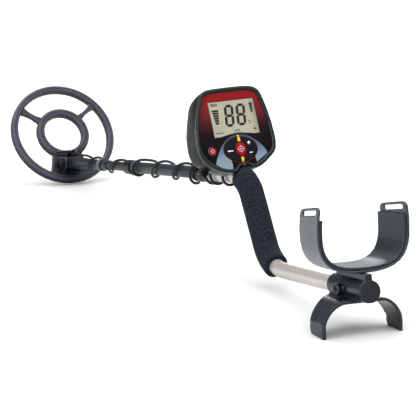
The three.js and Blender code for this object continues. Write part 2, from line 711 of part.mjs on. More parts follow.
// Points of the outline, counter-clockwise, a distance inside the bezel's outer edge. At a fullness of 0 the
// left half is the right half's mirror image.
function faceOutline(inset, fullness = 1) {
  const share = inset / BEZEL.border;
  const right = halfOutline(OUTER_LINE, INNER_LINE, share);
  const full = halfOutline(OUTER_LEFT, INNER_LEFT, share);
  const left = right.map((point, i) => point.clone().lerp(full[i], fullness)).slice(1, -1).reverse()
    .map((point) => new Vector2(-point.x, point.y));
  // The right lobe beside the notch hangs a little less than the left one.
  const lifted = right.map((point) => new Vector2(point.x, point.y
    + 2.6 * THREE.MathUtils.smoothstep(point.x, 2, 16) * THREE.MathUtils.smoothstep(-point.y, 48, 72)));
  return [...lifted, ...left].reverse();
}

function faceRing(inset, n) {
  return faceOutline(inset).map((point) => new Vector3(point.x, point.y, n));
}

function shellRing(inset, n) {
  // The shell is a little wider behind the bezel, and its underside rises towards the back.
  const depth = (SHELL.front - n) / (SHELL.front - SHELL.back);
  return faceOutline(inset, 1 - depth).map((point) => {
    const low = THREE.MathUtils.smoothstep(-point.y, 45, 72);
    const high = THREE.MathUtils.smoothstep(point.y, -30, 47);
    const width = 1 + 0.11 * depth - 0.12 * high * Math.max(depth, 0) ** 1.5;
    return new Vector3(point.x * width, point.y + (6 * low - 4.5 * high) * depth ** 2, n);
  });
}

function tunnelBelow(radius) {
  // Room for the rod and foam under the housing: the foam's own shape, open downwards.
  const behind = upperBend.getPoint(0).addScaledVector(gripDirection, -45);
  const ahead = alongStem(90);
  const line = [behind, ...[0, 0.25, 0.5, 0.75, 1].map((t) => upperBend.getPoint(t)), ahead];
  const side = shapeOf([...line.map((point) => [point.y, point.z]), [ahead.y, ahead.z - 100],
    [behind.y, ahead.z - 100]]);
  return joined(
    cylinder(radius, behind, upperBend.getPoint(0).addScaledVector(gripDirection, 0.5), 24),
    solid(sweep(disc(radius), upperBend, 6, 12)),
    cylinder(radius, upperBend.getPoint(1).addScaledVector(stemDirection, -0.5), ahead, 24),
    sidePlate(side, -radius, radius),
  );
}

const toFace = new Matrix4().copy(faceMatrix).invert();

function inFaceFrame(body) {
  const geometry = geometryOf(body);
  geometry.applyMatrix4(toFace);
  return solid(geometry);
}

const SCREW_SPOTS = [[-40, 25.5], [40, 25.5], [-47, -46], [47, -46]];
const BATTERY = { u0: -38.2, u1: 10.2, w0: -9.2, w1: 17.2, n0: -41.5, n1: -24 };
const JACK = { u: 61.6, w: -30, n: -31 };
const SPEAKER = { u: 30.5, w: -2, radius: 15.5 };

function plugFrame() {
  const out = new Vector3(PLUG.outU, PLUG.outW, 0).normalize();
  const forward = new Vector3(0, 0, -1);
  const across = new Vector3().crossVectors(forward, out);
  return new Matrix4().makeBasis(across, forward, out).setPosition(PLUG.u, PLUG.w, PLUG.n);
}

function onPlug(x, y, z) {
  return new Vector3(x, y, z).applyMatrix4(plugFrame());
}

function makeShell() {
  const outer = loft([
    shellRing(5, SHELL.back), shellRing(2, SHELL.back + 1.4), shellRing(0.3, SHELL.back + 5),
    shellRing(0, SHELL.back + 12), shellRing(0, SHELL.back + 21), shellRing(0, SHELL.back + 30),
    shellRing(0, SHELL.front),
  ]);
  const inner = loft([
    shellRing(5.2, SHELL.back + SHELL.wall), shellRing(3.2, SHELL.back + 6), shellRing(SHELL.wall, -30),
    shellRing(SHELL.wall, -18), shellRing(SHELL.wall, SHELL.front + 1),
  ]);
  const bosses = SCREW_SPOTS.map(([u, w]) => alongZ(4.2, SHELL.back + 2, -8, u, w, 16));
  const holes = SCREW_SPOTS.map(([u, w]) => alongZ(1.9, SHELL.back - 3, 0, u, w, 12));
  const grille = [-8, -4, 0, 4, 8].map((shift) => box(SPEAKER.u + shift - 1, SPEAKER.u + shift + 1,
    SPEAKER.w - 9, SPEAKER.w + 9, SHELL.back - 2, SHELL.back + 4));
  const jackAcross = onJack(0, 0);
  return cut(
    joined(cut(outer, cut(inner, inFaceFrame(tunnelBelow(FOAM.radius + 3.2)), ...bosses))),
    inFaceFrame(tunnelBelow(FOAM.radius + 0.6)),
    ...holes, ...grille,
    box(-39, 11, -10, 18, SHELL.back - 2, SHELL.back + 4),
    cylinder(4.7, onPlug(0, 0, -12), onPlug(0, 0, 8), 16),
    cylinder(4.3, onJack(0, -12), onJack(0, 8), 16),
    inFaceFrame(cylinder(1.9, stemPoint(0, BRACKET.screw, 10), stemPoint(0, BRACKET.screw, 30), 12)),
    box(-70, 70, -90, 60, SHELL.front, 10),
  );
}

function stemPoint(x, y, z) {
  return new Vector3(x, y, z).applyMatrix4(stemMatrix);
}

function onJack(across, out) {
  // The headphone jack points out of the right wall, square to its slope.
  return new Vector3(JACK.u + 0.985 * out, JACK.w, JACK.n + 0.174 * out + across);
}

function makeBezel() {
  const outer = loft([faceRing(0, BEZEL.back), faceRing(0, 1.2), faceRing(1.6, BEZEL.front)]);
  const inner = loft([faceRing(BEZEL.border, BEZEL.back - 1), faceRing(BEZEL.border, 0.6),
    faceRing(BEZEL.border - 1.4, BEZEL.front + 0.01), faceRing(BEZEL.border - 1.4, BEZEL.front + 1)]);
  return cut(outer, inner, inFaceFrame(tunnelBelow(FOAM.radius + 0.5)));
}

function oval(halfU, halfW, n0, n1, sides = 32) {
  const geometry = new THREE.CylinderGeometry(1, 1, n1 - n0, sides);
  geometry.rotateX(Math.PI / 2);
  geometry.scale(halfU, halfW, 1);
  geometry.translate(0, KEYS.w, (n0 + n1) / 2);
  return solid(geometry);
}

function makeFaceplate() {
  const whole = loft([faceRing(BEZEL.border + GAP, -1.6), faceRing(BEZEL.border + GAP, -0.4)]);
  return cut(
    whole,
    box(-DISPLAY.halfU, DISPLAY.halfU, -DISPLAY.halfW, DISPLAY.halfW, -5, 5),
    oval(KEYS.halfU, KEYS.halfW, -5, 5),
    alongZ(POWER.radius + 0.4, -5, 5, POWER.u, POWER.w, 20),
  );
}

function makeDisplayWindow() {
  const halfU = DISPLAY.halfU - GAP;
  const halfW = DISPLAY.halfW - GAP;
  return box(-halfU, halfU, -halfW, halfW, -1.6, -0.5);
}

function makeDisplayModule() {
  return box(-38, 38, -28.3, 28.3, -7.6, -2.1);
}

function makeKeypadMat() {
  const room = loft([faceRing(BEZEL.border + 0.5, -6), faceRing(BEZEL.border + 0.5, -3)]);
  return joined(box(-28, 28, -66, -29, -5.2, -3.8), box(-52, -20, -51, -40, -5.2, -3.8)).intersect(room);
}

function keyPlate(...cutters) {
  const plateBody = oval(KEYS.halfU - 0.5, KEYS.halfW - 0.5, KEYS.back, 0.6);
  return cut(plateBody, oval(8.9, 10.9, -9, 9, 24), ...cutters);
}

const HALF_SLIT = 0.45;
const leftSide = () => box(-60, HALF_SLIT, -90, 0, -9, 9);
const rightSide = () => box(-HALF_SLIT, 60, -90, 0, -9, 9);

function makeBattery() {
  const { u0, u1, w0, w1, n0, n1 } = BATTERY;
  return box(u0, u1, w0, w1, n0, n1);
}

function makeBatterySnap() {
  const { u1, w0, w1, n0, n1 } = BATTERY;
  return box(u1 + 0.4, u1 + 4.6, w0 + 3, w1 - 3, n0 + 1, n1 - 1);
}

function makeBatteryDoor() {
  const door = box(-41, 13, -12, 20, SHELL.back - 2.3, SHELL.back - GAP);
  const ribs = [0, 1, 2, 3].map((i) => box(-22, -6, -8 + 4 * i, -6.4 + 4 * i, SHELL.back - 3.1, SHELL.back - 2));
  return joined(door, ...ribs);
}

function makeSpeaker() {
  const { u, w, radius } = SPEAKER;
  return joined(alongZ(radius, -41.6, -38, u, w, 28), cylinder(radius - 2, new Vector3(u, w, -38.5),
    new Vector3(u, w, -34), 24, 10), alongZ(9.5, -34.5, -30, u, w, 20));
}

function makeHousingScrew([u, w]) {
  const head = SHELL.back - 2.1;
  const body = joined(alongZ(3.2, head, SHELL.back - GAP, u, w, 16), alongZ(1.5, head + 0.5, -8.4, u, w, 12));
  const cross = [box(u - 1.9, u + 1.9, w - 0.4, w + 0.4, head - 1, head + 0.8),
    box(u - 0.4, u + 0.4, w - 1.9, w + 1.9, head - 1, head + 0.8)];
  return cut(body, ...cross);
}

function makeBracket() {
  const { from, to, screw, foot } = BRACKET;
  const ring = pipe(17.4, ROD.outer + 0.4, from, to, 28);
  return cut(ring, box(-30, 30, from - 1, to + 1, -30, foot), cylinder(1.9, new Vector3(0, screw, 10),
    new Vector3(0, screw, 30), 12));
}

function makeBracketScrew() {
  return joined(alongZ(1.5, 12.4, 21.5, 0, BRACKET.screw, 12), alongZ(3, 21.2, 23, 0, BRACKET.screw, 14));
}

function makeCableSocket() {
  const socket = cylinder(4.3, onPlug(0, 0, -10), onPlug(0, 0, 0.9), 16);
  return joined(socket, cylinder(6, onPlug(0, 0, -10.5), onPlug(0, 0, -6.8), 16));
}

function makeHeadphoneJack() {
  const jack = joined(cylinder(3.9, onJack(0, -9), onJack(0, 1.5), 16),
    cylinder(5.6, onJack(0, 0.5), onJack(0, 2), 16));
  return cut(jack, cylinder(1.9, onJack(0, -6), onJack(0, 4), 12));
}

function makePlug() {
  return joined(
    cylinder(5.4, onPlug(0, 0, 1.2), onPlug(0, 0, 10.4), 20),
    cylinder(3.6, onPlug(0, 0, 6.8), onPlug(0, 9.6, 6.8), 16, 3),
  );
}

function makePlugRing() {
  return cut(cylinder(7, onPlug(0, 0, 1.2), onPlug(0, 0, 3), 24), cylinder(5.75, onPlug(0, 0, 0),
    onPlug(0, 0, 9), 20));
}

// ---- cable ----------------------------------------------------------------------------------------------

// Quarter turns of the cable round the stems at distances along them: 0 is right, 1 above, 2 left, 3 below.
const WINDING = [
  [48, -2.4], [52.5, -2], [57.5, -1], [62, 0], [69, 1], [90, 1.4], [95, 2], [99, 3], [103, 4], [108, 5],
  [112, 6], [117, 7], [124, 8], [142, 8], [153, 9], [177, 11], [258, 15], [346, 19], [360, 20.7], [408, 21.2],
  [414, 22], [417, 23], [420, 24], [454, 24], [466, 23.3], [480, 24], [497, 25], [549, 27], [580, 28], [604, 28],
  [647, 31], [688, 33],
];
// Widest piece under the cable at distances along the stems.
const UNDER_CABLE = [
  [0, ROD.outer], [142, ROD.outer], [143, UPPER_COLLAR.radius + 0.3], [176, UPPER_COLLAR.radius - 0.4],
  [181, MIDDLE.outer], [433, MIDDLE.outer], [434, LOWER_COLLAR.radius], [466, LOWER_COLLAR.radius],
  [477, LOWER_COLLAR.radius - 2], [483, LOWER.outer], [552, LOWER.outer], [555, TIP.radius],
  [652, TIP.radius], [690, TIP.halfHeight + 0.6], [760, TIP.halfHeight + 0.6],
];

function lookUp(table, at) {
  const next = table.findIndex(([distance]) => distance > at);
  if (next <= 0) return next === 0 ? table[0][1] : table[table.length - 1][1];
  const [d0, v0] = table[next - 1];
  const [d1, v1] = table[next];
  return v0 + ((v1 - v0) * (at - d0)) / (d1 - d0);
}

function quarterTurns(at) {
  // The table's values, with its corners rounded off over a few millimetres.
  const span = 2;
  return [-1, -0.5, 0, 0.5, 1].reduce((sum, k) => sum + lookUp(WINDING, at + k * span), 0) / 5;
}

function underCable(at) {
  return Math.max(...[-4, 0, 4].map((shift) => lookUp(UNDER_CABLE, at + shift)));
}

function windingPoint(at) {
  const angle = (quarterTurns(at) * Math.PI) / 2;
  const slack = at > 240 && at < 404 ? 1.0 * Math.max(0, Math.sin(angle)) ** 2 : 0;
  const radius = underCable(at) + CABLE_RADIUS + CABLE_CLEARANCE + slack;
  return new Vector3(radius * Math.cos(angle), at, radius * Math.sin(angle));
}

function heading(at) {
  const rate = quarterTurns(at + 0.5) - quarterTurns(at - 0.5);
  return Math.atan(rate * (Math.PI / 2) * underCable(at));
}

function winding(from, to) {
  // Points fourteen to a turn and at each corner of the table, so the tube stays clear of the stems.
  const corners = [
    ...WINDING.flatMap(([distance]) => [distance - 2, distance + 2]),
    ...UNDER_CABLE.flatMap(([distance]) => [distance - 4, distance + 4]),
  ];
  const points = [];
  let at = from;
  while (at < to - 1) {
    points.push(windingPoint(at));
    const corner = Math.min(...corners.filter((distance) => distance > at + 1), to);
    const turnedAt = (distance) => quarterTurns(distance) - quarterTurns(at) > 0.28
      || Math.abs(heading(distance) - heading(at)) > 0.4;
    let step = 0.5;
    while (at + step < corner && !turnedAt(at + step) && step < 16) step += 0.5;
    at = Math.min(at + step, corner);
  }
  points.push(windingPoint(to));
  return points;
}

// From the plug forwards, round in a loop and back to the rod's left side, in the stems' own frame.
const LEAD = [
  [-52, 52.8, 1.8], [-50.4, 58.9, 4.6], [-43, 62, 9], [-32, 61.5, 13], [-22, 59, 14.4], [-15.6, 55.6, 10.4],
];

function cableTube(points) {
  // A ring at each point, turned no more than the cable itself turns there.
  const sides = 8;
  let normal = new Vector3(0.31, 0.22, 0.92);
  const rings = points.map((point, i) => {
    const before = points[Math.max(i - 1, 0)];
    const after = points[Math.min(i + 1, points.length - 1)];
    const tangent = after.clone().sub(before).normalize();
    normal = normal.clone().addScaledVector(tangent, -normal.dot(tangent)).normalize();
    const binormal = new Vector3().crossVectors(tangent, normal);
    return Array.from({ length: sides }, (_, k) => {
      const angle = (2 * Math.PI * k) / sides;
      const c = CABLE_RADIUS * Math.cos(angle);
      const d = CABLE_RADIUS * Math.sin(angle);
      const vertex = point.clone().addScaledVector(normal, c).addScaledVector(binormal, d);
      vertex.userFlat = new Vector2(c, d);
      return vertex;
    });
  });
  return loft(rings);
}

function makeCableLead() {
  const leaving = [9.95, 13.5].map((y) => onPlug(0, y, 6.8).applyMatrix4(faceMatrix).applyMatrix4(toStemFrame));
  const lead = LEAD.map((point) => new Vector3(...point));
  return cableTube([...leaving, ...lead, ...winding(52.5, STRAPS.rod)]);
}

function makeCableEnd() {
  // From the last turn along the top of the tip, over the pivot and into the gland.
  const pivot = PIVOT_REACH;
  return cableTube([...winding(689.4, 700), new Vector3(0, 716, 15.6), new Vector3(0, pivot - 31, 18.5),
    new Vector3(0, pivot - 18, 23.6), ...GLAND_TOP]);
}

const coilPlace = coilMatrix.clone().setPosition(coil.position);
const GLAND_TOP = [[0, GLAND_Y - 3.6, 29], [0, GLAND_Y - 1.2, 22.9]].map((point) => new Vector3(...point)
  .applyMatrix4(coilPlace).applyMatrix4(toStemFrame));

function makeStrap(from, to, tubeRadius) {
  const cableCentre = windingPoint((from + to) / 2).x;
  const outer = joined(alongY(tubeRadius + 1.7, from, to, 0, 0, 24), alongY(CABLE_RADIUS + 1.8, from, to,
    cableCentre, 0, 16), box(0, cableCentre, from, to, -3.4, 3.4));
  return cut(outer, alongY(tubeRadius + GAP, from - 1, to + 1, 0, 0, 24),
    alongY(CABLE_RADIUS + 0.45, from - 1, to + 1, cableCentre, 0, 16));
}

// ---- assembly -------------------------------------------------------------------------------------------

add(rod, 's_rod', makeRod(), 'aluminium');
add(rod, 'grip_foam', makeFoam(), 'foam');
add(rod, 'tube_end_plug', makeEndPlug(), 'plastic');
add(rod, 'arm_cuff', makeCuff(), 'plastic');
add(rod, 'cuff_pad', makeCuffPad(), 'plastic');
CUFF_SCREWS.forEach((y, i) => add(rod, `cuff_screw_${i + 1}`, makeCuffScrew(y), 'steel'));
add(rod, 'stand', makeStand(), 'plastic');
add(rod, 'clamp_bolt', makeClampBolt(), 'steel');
add(rod, 'clamp_nut', makeClampNut(), 'steel');

add(stem, 'upper_lock_collar', makeUpperCollar(), 'rubber');
add(stem, 'upper_collet', makeUpperCollet(), 'plastic');
add(stem, 'middle_stem', makeMiddleStem(), 'stem');
add(stem, 'lower_lock_collar', makeLowerCollar(), 'rubber');
add(stem, 'lower_collet', makeLowerCollet(), 'plastic');
add(stem, 'lower_stem', makeLowerStem(), 'stem');
add(stem, 'stem_tip', makeStemTip(), 'stem');

add(coil, 'coil_housing', makeCoilHousing(), 'coil');
add(coil, 'coil_cover', makeCoilCover(), 'coil');
add(coil, 'transmit_winding', makeWinding(91.4, 98.8, 48), 'copper');
add(coil, 'receive_winding', makeWinding(40, 48.6, 36), 'copper');
add(coil, 'coil_gland', makeGland(), 'rubber');
add(coil, 'coil_bolt', makeCoilBolt(), 'plastic');
add(coil, 'coil_knob', makeCoilKnob(), 'plastic');
add(coil, 'tilt_washer_left', makeWasher(-1), 'rubber');
add(coil, 'tilt_washer_right', makeWasher(1), 'rubber');

add(face, 'console_shell', makeShell(), 'housing');
add(face, 'console_bezel', makeBezel(), 'housing');
add(face, 'faceplate', makeFaceplate(), 'face');
add(face, 'display_window', makeDisplayWindow(), 'window');
add(face, 'display_module', makeDisplayModule(), 'screen');
add(face, 'keypad_mat', makeKeypadMat(), 'rubber');
add(face, 'circuit_board', box(-40, 40, -60, 20.6, -10.2, -8.6), 'board');
add(face, 'menu_button', keyPlate(rightSide()), 'key');
add(face, 'plus_button', keyPlate(leftSide(), box(-60, 60, -90, KEYS.w + HALF_SLIT, -9, 9)), 'key');
add(face, 'minus_button', keyPlate(leftSide(), box(-60, 60, KEYS.w - HALF_SLIT, 0, -9, 9)), 'key');
add(face, 'pinpoint_button', oval(8.3, 10.3, KEYS.back, 1.6, 24), 'red');
add(face, 'power_button', alongZ(POWER.radius, KEYS.back, 1.2, POWER.u, POWER.w, 20), 'red');
add(face, 'speaker', makeSpeaker(), 'rubber');
add(face, 'battery', makeBattery(), 'steel');
add(face, 'battery_snap', makeBatterySnap(), 'rubber');
add(face, 'battery_door', makeBatteryDoor(), 'housing');
SCREW_SPOTS.forEach((spot, i) => add(face, `housing_screw_${i + 1}`, makeHousingScrew(spot), 'steel'));
add(face, 'cable_socket', makeCableSocket(), 'steel');
add(face, 'headphone_jack', makeHeadphoneJack(), 'rubber');
add(face, 'cable_plug', makePlug(), 'rubber');
add(face, 'plug_ring', makePlugRing(), 'rubber');
add(stem, 'console_bracket', makeBracket(), 'plastic');
add(stem, 'bracket_screw', makeBracketScrew(), 'steel');

add(stem, 'cable_lead', makeCableLead(), 'rubber');
add(stem, 'cable_upper', cableTube(winding(STRAPS.rod + GAP, STRAPS.middle)), 'rubber');
add(stem, 'cable_lower', cableTube(winding(STRAPS.middle + GAP, STRAPS.lower)), 'rubber');
add(stem, 'cable_tip', cableTube(winding(STRAPS.lower + GAP, 688)), 'rubber');
add(stem, 'cable_end', makeCableEnd(), 'rubber');
add(stem, 'rod_strap', makeStrap(STRAPS.rod - 4, STRAPS.rod + 4, ROD.outer), 'strap');
add(stem, 'middle_strap', makeStrap(STRAPS.middle - 2.3, STRAPS.middle + 2.3, MIDDLE.outer), 'strap');
add(stem, 'lower_strap', makeStrap(STRAPS.lower - 7, STRAPS.lower + 7, TIP.radius), 'strap');

export default object;
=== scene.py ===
import json
import math

import bmesh
import bpy
import numpy as np
from mathutils import Matrix, Vector, noise

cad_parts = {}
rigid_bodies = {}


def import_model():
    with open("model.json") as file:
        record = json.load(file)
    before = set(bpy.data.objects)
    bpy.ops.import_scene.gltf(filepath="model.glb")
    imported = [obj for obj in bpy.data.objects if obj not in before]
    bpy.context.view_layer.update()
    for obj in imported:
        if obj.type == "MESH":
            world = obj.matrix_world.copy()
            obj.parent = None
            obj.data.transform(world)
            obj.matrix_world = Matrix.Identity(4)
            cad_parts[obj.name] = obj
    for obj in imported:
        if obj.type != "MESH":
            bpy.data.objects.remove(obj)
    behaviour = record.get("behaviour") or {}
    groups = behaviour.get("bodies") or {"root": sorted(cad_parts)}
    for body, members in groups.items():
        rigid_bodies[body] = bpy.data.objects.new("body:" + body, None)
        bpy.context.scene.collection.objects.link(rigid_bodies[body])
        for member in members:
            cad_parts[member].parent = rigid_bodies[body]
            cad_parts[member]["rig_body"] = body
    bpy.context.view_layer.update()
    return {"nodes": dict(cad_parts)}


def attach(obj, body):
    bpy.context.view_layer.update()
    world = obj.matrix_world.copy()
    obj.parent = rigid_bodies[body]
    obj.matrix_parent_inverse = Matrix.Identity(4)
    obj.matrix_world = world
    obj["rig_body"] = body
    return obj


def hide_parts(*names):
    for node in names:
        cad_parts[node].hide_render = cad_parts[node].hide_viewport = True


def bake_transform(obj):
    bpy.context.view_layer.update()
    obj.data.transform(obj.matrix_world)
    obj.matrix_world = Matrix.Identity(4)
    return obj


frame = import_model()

NODES = frame["nodes"]
MM = 0.001


# ---- frames, as the CAD part lays them out (millimetres) ----------------------------------------------

def turn(axis, degrees):
    return Matrix.Rotation(math.radians(degrees), 4, axis)


def shift(x, y, z):
    return Matrix.Translation((x, y, z))


ARM_LENGTH, GRIP_LENGTH, GRIP_ANGLE, STEM_ANGLE = 267.2, 140.6, 60.7, -1.2
LOWER_BEND, UPPER_BEND = 60, 50
COIL_ANGLE, PIVOT_BACK, PIVOT_HEIGHT, PIVOT_REACH = 62.4, 67.9, 16, 762

arm_direction = Vector((0, 1, 0))
grip_direction = Vector((0, math.cos(math.radians(GRIP_ANGLE)), math.sin(math.radians(GRIP_ANGLE))))
stem_direction = Vector((0, math.cos(math.radians(STEM_ANGLE)), math.sin(math.radians(STEM_ANGLE))))
lower_corner = Vector((0, ARM_LENGTH, 0))
upper_corner = lower_corner + grip_direction * GRIP_LENGTH

ROD = Matrix.Diagonal((MM, MM, MM, 1)) @ shift(0, -607.57, 58.26) @ turn("X", -6.43)
STEM = ROD @ shift(*upper_corner) @ turn("X", STEM_ANGLE)
FACE = ROD @ shift(-5.6, 363, 206.4) @ turn("Y", -3.8) @ turn("X", 73.6)
pivot = upper_corner + stem_direction * PIVOT_REACH
coil_turn = turn("X", COIL_ANGLE)
coil_centre = pivot - coil_turn @ Vector((0, -PIVOT_BACK, PIVOT_HEIGHT))
COIL = ROD @ shift(*coil_centre) @ coil_turn


# ---- materials ------------------------------------------------------------------------------------------

class Surface:
    """A Principled material whose detail comes from nodes that read object coordinates in metres."""

    def __init__(self, name, **constants):
        self.material = bpy.data.materials.new(name)
        self.material.use_nodes = True
        self.tree = self.material.node_tree
        self.shader = self.tree.nodes["Principled BSDF"]
        for socket, value in constants.items():
            self.shader.inputs[socket.replace("_", " ")].default_value = value
        self.place = self.tree.nodes.new("ShaderNodeTexCoord").outputs["Object"]

    def link(self, source, target):
        if isinstance(source, bpy.types.NodeSocket):
            self.tree.links.new(source, target)
        else:
            target.default_value = source

    def node(self, kind, **settings):
        made = self.tree.nodes.new(kind)
        for key, value in settings.items():
            setattr(made, key, value)
        return made

    def noise(self, scale, detail=3, roughness=0.5, place=None, distortion=0):
        made = self.node("ShaderNodeTexNoise")
        self.link(place or self.place, made.inputs["Vector"])
        made.inputs["Scale"].default_value = scale
        made.inputs["Detail"].default_value = detail
        made.inputs["Roughness"].default_value = roughness
        made.inputs["Distortion"].default_value = distortion
        return made.outputs["Fac"]

    def cells(self, scale, feature="F1", place=None):
        made = self.node("ShaderNodeTexVoronoi", feature=feature)
        self.link(place or self.place, made.inputs["Vector"])
        made.inputs["Scale"].default_value = scale
        return made.outputs["Distance"]

    def stretched(self, matrix, scale=(1, 1, 1)):
        """Coordinates along the axes of a frame, each multiplied by its scale."""
        inverse = matrix.inverted()
        location, rotation, size = inverse.decompose()
        first = self.node("ShaderNodeMapping")
        self.link(self.place, first.inputs["Vector"])
        first.inputs["Location"].default_value = location
        first.inputs["Rotation"].default_value = rotation.to_euler("XYZ")
        first.inputs["Scale"].default_value = size
        second = self.node("ShaderNodeMapping")
        self.link(first.outputs["Vector"], second.inputs["Vector"])
        second.inputs["Scale"].default_value = scale
        return second.outputs["Vector"]

    def math(self, operation, a, b=0.0, clamp=False):
        made = self.node("ShaderNodeMath", operation=operation, use_clamp=clamp)
        self.link(a, made.inputs[0])
        self.link(b, made.inputs[1])
        return made.outputs["Value"]

    def spread(self, value, low, high, to_low=0.0, to_high=1.0):
        made = self.node("ShaderNodeMapRange")
        self.link(value, made.inputs["Value"])
        for socket, number in zip(("From Min", "From Max", "To Min", "To Max"), (low, high, to_low, to_high)):
            made.inputs[socket].default_value = number
        return made.outputs["Result"]

    def mix(self, share, a, b):
        made = self.node("ShaderNodeMix", data_type="RGBA")
        self.link(share, made.inputs[0])
        self.link(a, made.inputs[6])
        self.link(b, made.inputs[7])
        return made.outputs[2]

    def ramp(self, value, *stops):
        made = self.node("ShaderNodeValToRGB")
        self.link(value, made.inputs["Fac"])
        elements = made.color_ramp.elements
        while len(elements) < len(stops):
            elements.new(0.5)
        for element, (position, colour) in zip(elements, stops):
            element.position = position
            element.color = colour
        return made.outputs["Color"]

    def edges(self, low=0.505, high=0.56):
        """From 0 on a surface to 1 on its outer edges."""
        pointiness = self.node("ShaderNodeNewGeometry").outputs["Pointiness"]
        return self.spread(pointiness, low, high)

    def colour(self, value):
        self.link(value, self.shader.inputs["Base Color"])

    def rough(self, value):
        self.link(value, self.shader.inputs["Roughness"])

    def bump(self, height, distance, strength=1.0):
        made = self.node("ShaderNodeBump")
        made.inputs["Strength"].default_value = strength
        made.inputs["Distance"].default_value = distance
        self.link(height, made.inputs["Height"])
        self.link(made.outputs["Normal"], self.shader.inputs["Normal"])


def rgb(red, green, blue):
    """A linear colour from one written in sRGB from 0 to 255."""
    def linear(value):
        value /= 255
        return value / 12.92 if value <= 0.04045 else ((value + 0.055) / 1.055) ** 2.4
    return (linear(red), linear(green), linear(blue), 1)


def lighter(colour, factor):
    return tuple(min(1, channel * factor) for channel in colour[:3]) + (1,)


def moulded(name, base, roughness=0.45, grain=1800, depth=0.00006, blotch=45, wear=1.9, coat=0.0,
            variation=0.16, scuffs=0.35, gloss=0.3):
    """Moulded plastic: spark-eroded grain, faint blotches, paler edges and a few scuffs."""
    look = Surface(name, Coat_Weight=coat, Coat_Roughness=0.18, Specular_IOR_Level=gloss)
    blotches = look.noise(blotch, 4, 0.6)
    fine = look.noise(grain, 2, 0.7)
    shade = look.math("ADD", look.math("MULTIPLY", blotches, 0.75), look.math("MULTIPLY", fine, 0.25))
    colour = look.ramp(shade, (0.32, lighter(base, 1 - variation)), (0.68, lighter(base, 1 + variation)))
    worn = look.math("MULTIPLY", look.edges(), look.spread(look.noise(160, 3), 0.35, 0.6), clamp=True)
    colour = look.mix(look.math("MULTIPLY", worn, 0.55), colour, lighter(base, wear))
    marks = look.spread(look.noise(420, 6, 0.75, distortion=1.2), 0.63, 0.72)
    colour = look.mix(look.math("MULTIPLY", marks, scuffs * 0.4), colour, lighter(base, wear * 0.8))
    look.colour(colour)
    uneven = look.math("ADD", look.spread(blotches, 0.3, 0.7, roughness - 0.06, roughness + 0.06),
                       look.math("MULTIPLY", marks, 0.15))
    look.rough(uneven)
    look.bump(look.math("ADD", fine, look.math("MULTIPLY", look.noise(grain / 5, 3), 0.6)), depth, 0.7)
    return look.material


def metal(name, base, roughness=0.3, grain=900, metallic=1.0, wear=1.25):
    look = Surface(name, Metallic=metallic)
    blotches = look.noise(120, 4, 0.6)
    fine = look.noise(grain, 3, 0.6)
    colour = look.ramp(blotches, (0.3, lighter(base, 0.85)), (0.7, lighter(base, 1.12)))
    look.colour(look.mix(look.math("MULTIPLY", look.edges(), 0.5), colour, lighter(base, wear)))
    look.rough(look.spread(fine, 0.3, 0.7, roughness - 0.07, roughness + 0.09))
    look.bump(fine, 0.00002, 0.5)
    return look.material


def anodised_tube():
    """Champagne anodised tube with fine draw lines along it."""
    look = Surface("champagne_anodised", Metallic=0.6, Coat_Weight=0.2, Coat_Roughness=0.22)
    uv = look.node("ShaderNodeUVMap", uv_map="along").outputs["UV"]
    lines = look.node("ShaderNodeMapping")
    look.link(uv, lines.inputs["Vector"])
    lines.inputs["Scale"].default_value = (110, 2.2, 1)
    drawn = look.noise(4, 4, 0.65, place=lines.outputs["Vector"])
    blotches = look.noise(28, 4, 0.6)
    base = rgb(188, 180, 172)
    shade = look.math("ADD", look.math("MULTIPLY", drawn, 0.45), look.math("MULTIPLY", blotches, 0.55))
    colour = look.ramp(shade, (0.3, lighter(base, 0.94)), (0.7, lighter(base, 1.05)))
    scuffs = look.spread(look.noise(240, 6, 0.7, distortion=2.0), 0.66, 0.74)
    look.colour(look.mix(look.math("MULTIPLY", scuffs, 0.3), colour, rgb(150, 142, 136)))
    look.rough(look.math("ADD", look.spread(drawn, 0.3, 0.7, 0.24, 0.36),
                         look.math("MULTIPLY", scuffs, 0.12)))
    look.bump(drawn, 0.00003, 0.5)
    return look.material


def foam_rubber():
    """Closed-cell foam: torn cells of several sizes, a soft bloom and pale dust in the high spots."""
    look = Surface("grip_foam_cells", Sheen_Weight=0.02, Sheen_Roughness=0.6, Specular_IOR_Level=0.08)
    cells = look.cells(1100)
    coarse = look.cells(480)
    fine = look.noise(1500, 3, 0.75)
    grains = look.noise(520, 2, 0.6)
    wide = look.noise(70, 4, 0.6)
    height = look.math("ADD", look.math("MULTIPLY", cells, 1.0),
                       look.math("ADD", look.math("MULTIPLY", coarse, 0.8), look.math("MULTIPLY", fine, 0.6)))
    base = look.ramp(wide, (0.3, rgb(9, 10, 15)), (0.7, rgb(16, 18, 25)))
    speck = look.math("MULTIPLY", look.spread(grains, 0.42, 0.66), 0.75)
    base = look.mix(speck, base, rgb(48, 53, 66))
    look.colour(look.mix(look.math("MULTIPLY", look.spread(fine, 0.45, 0.72), 0.5), base, rgb(6, 7, 11)))
    look.rough(look.spread(fine, 0.3, 0.7, 0.86, 1.0))
    look.bump(height, 0.0006, 1.0)
    return look.material


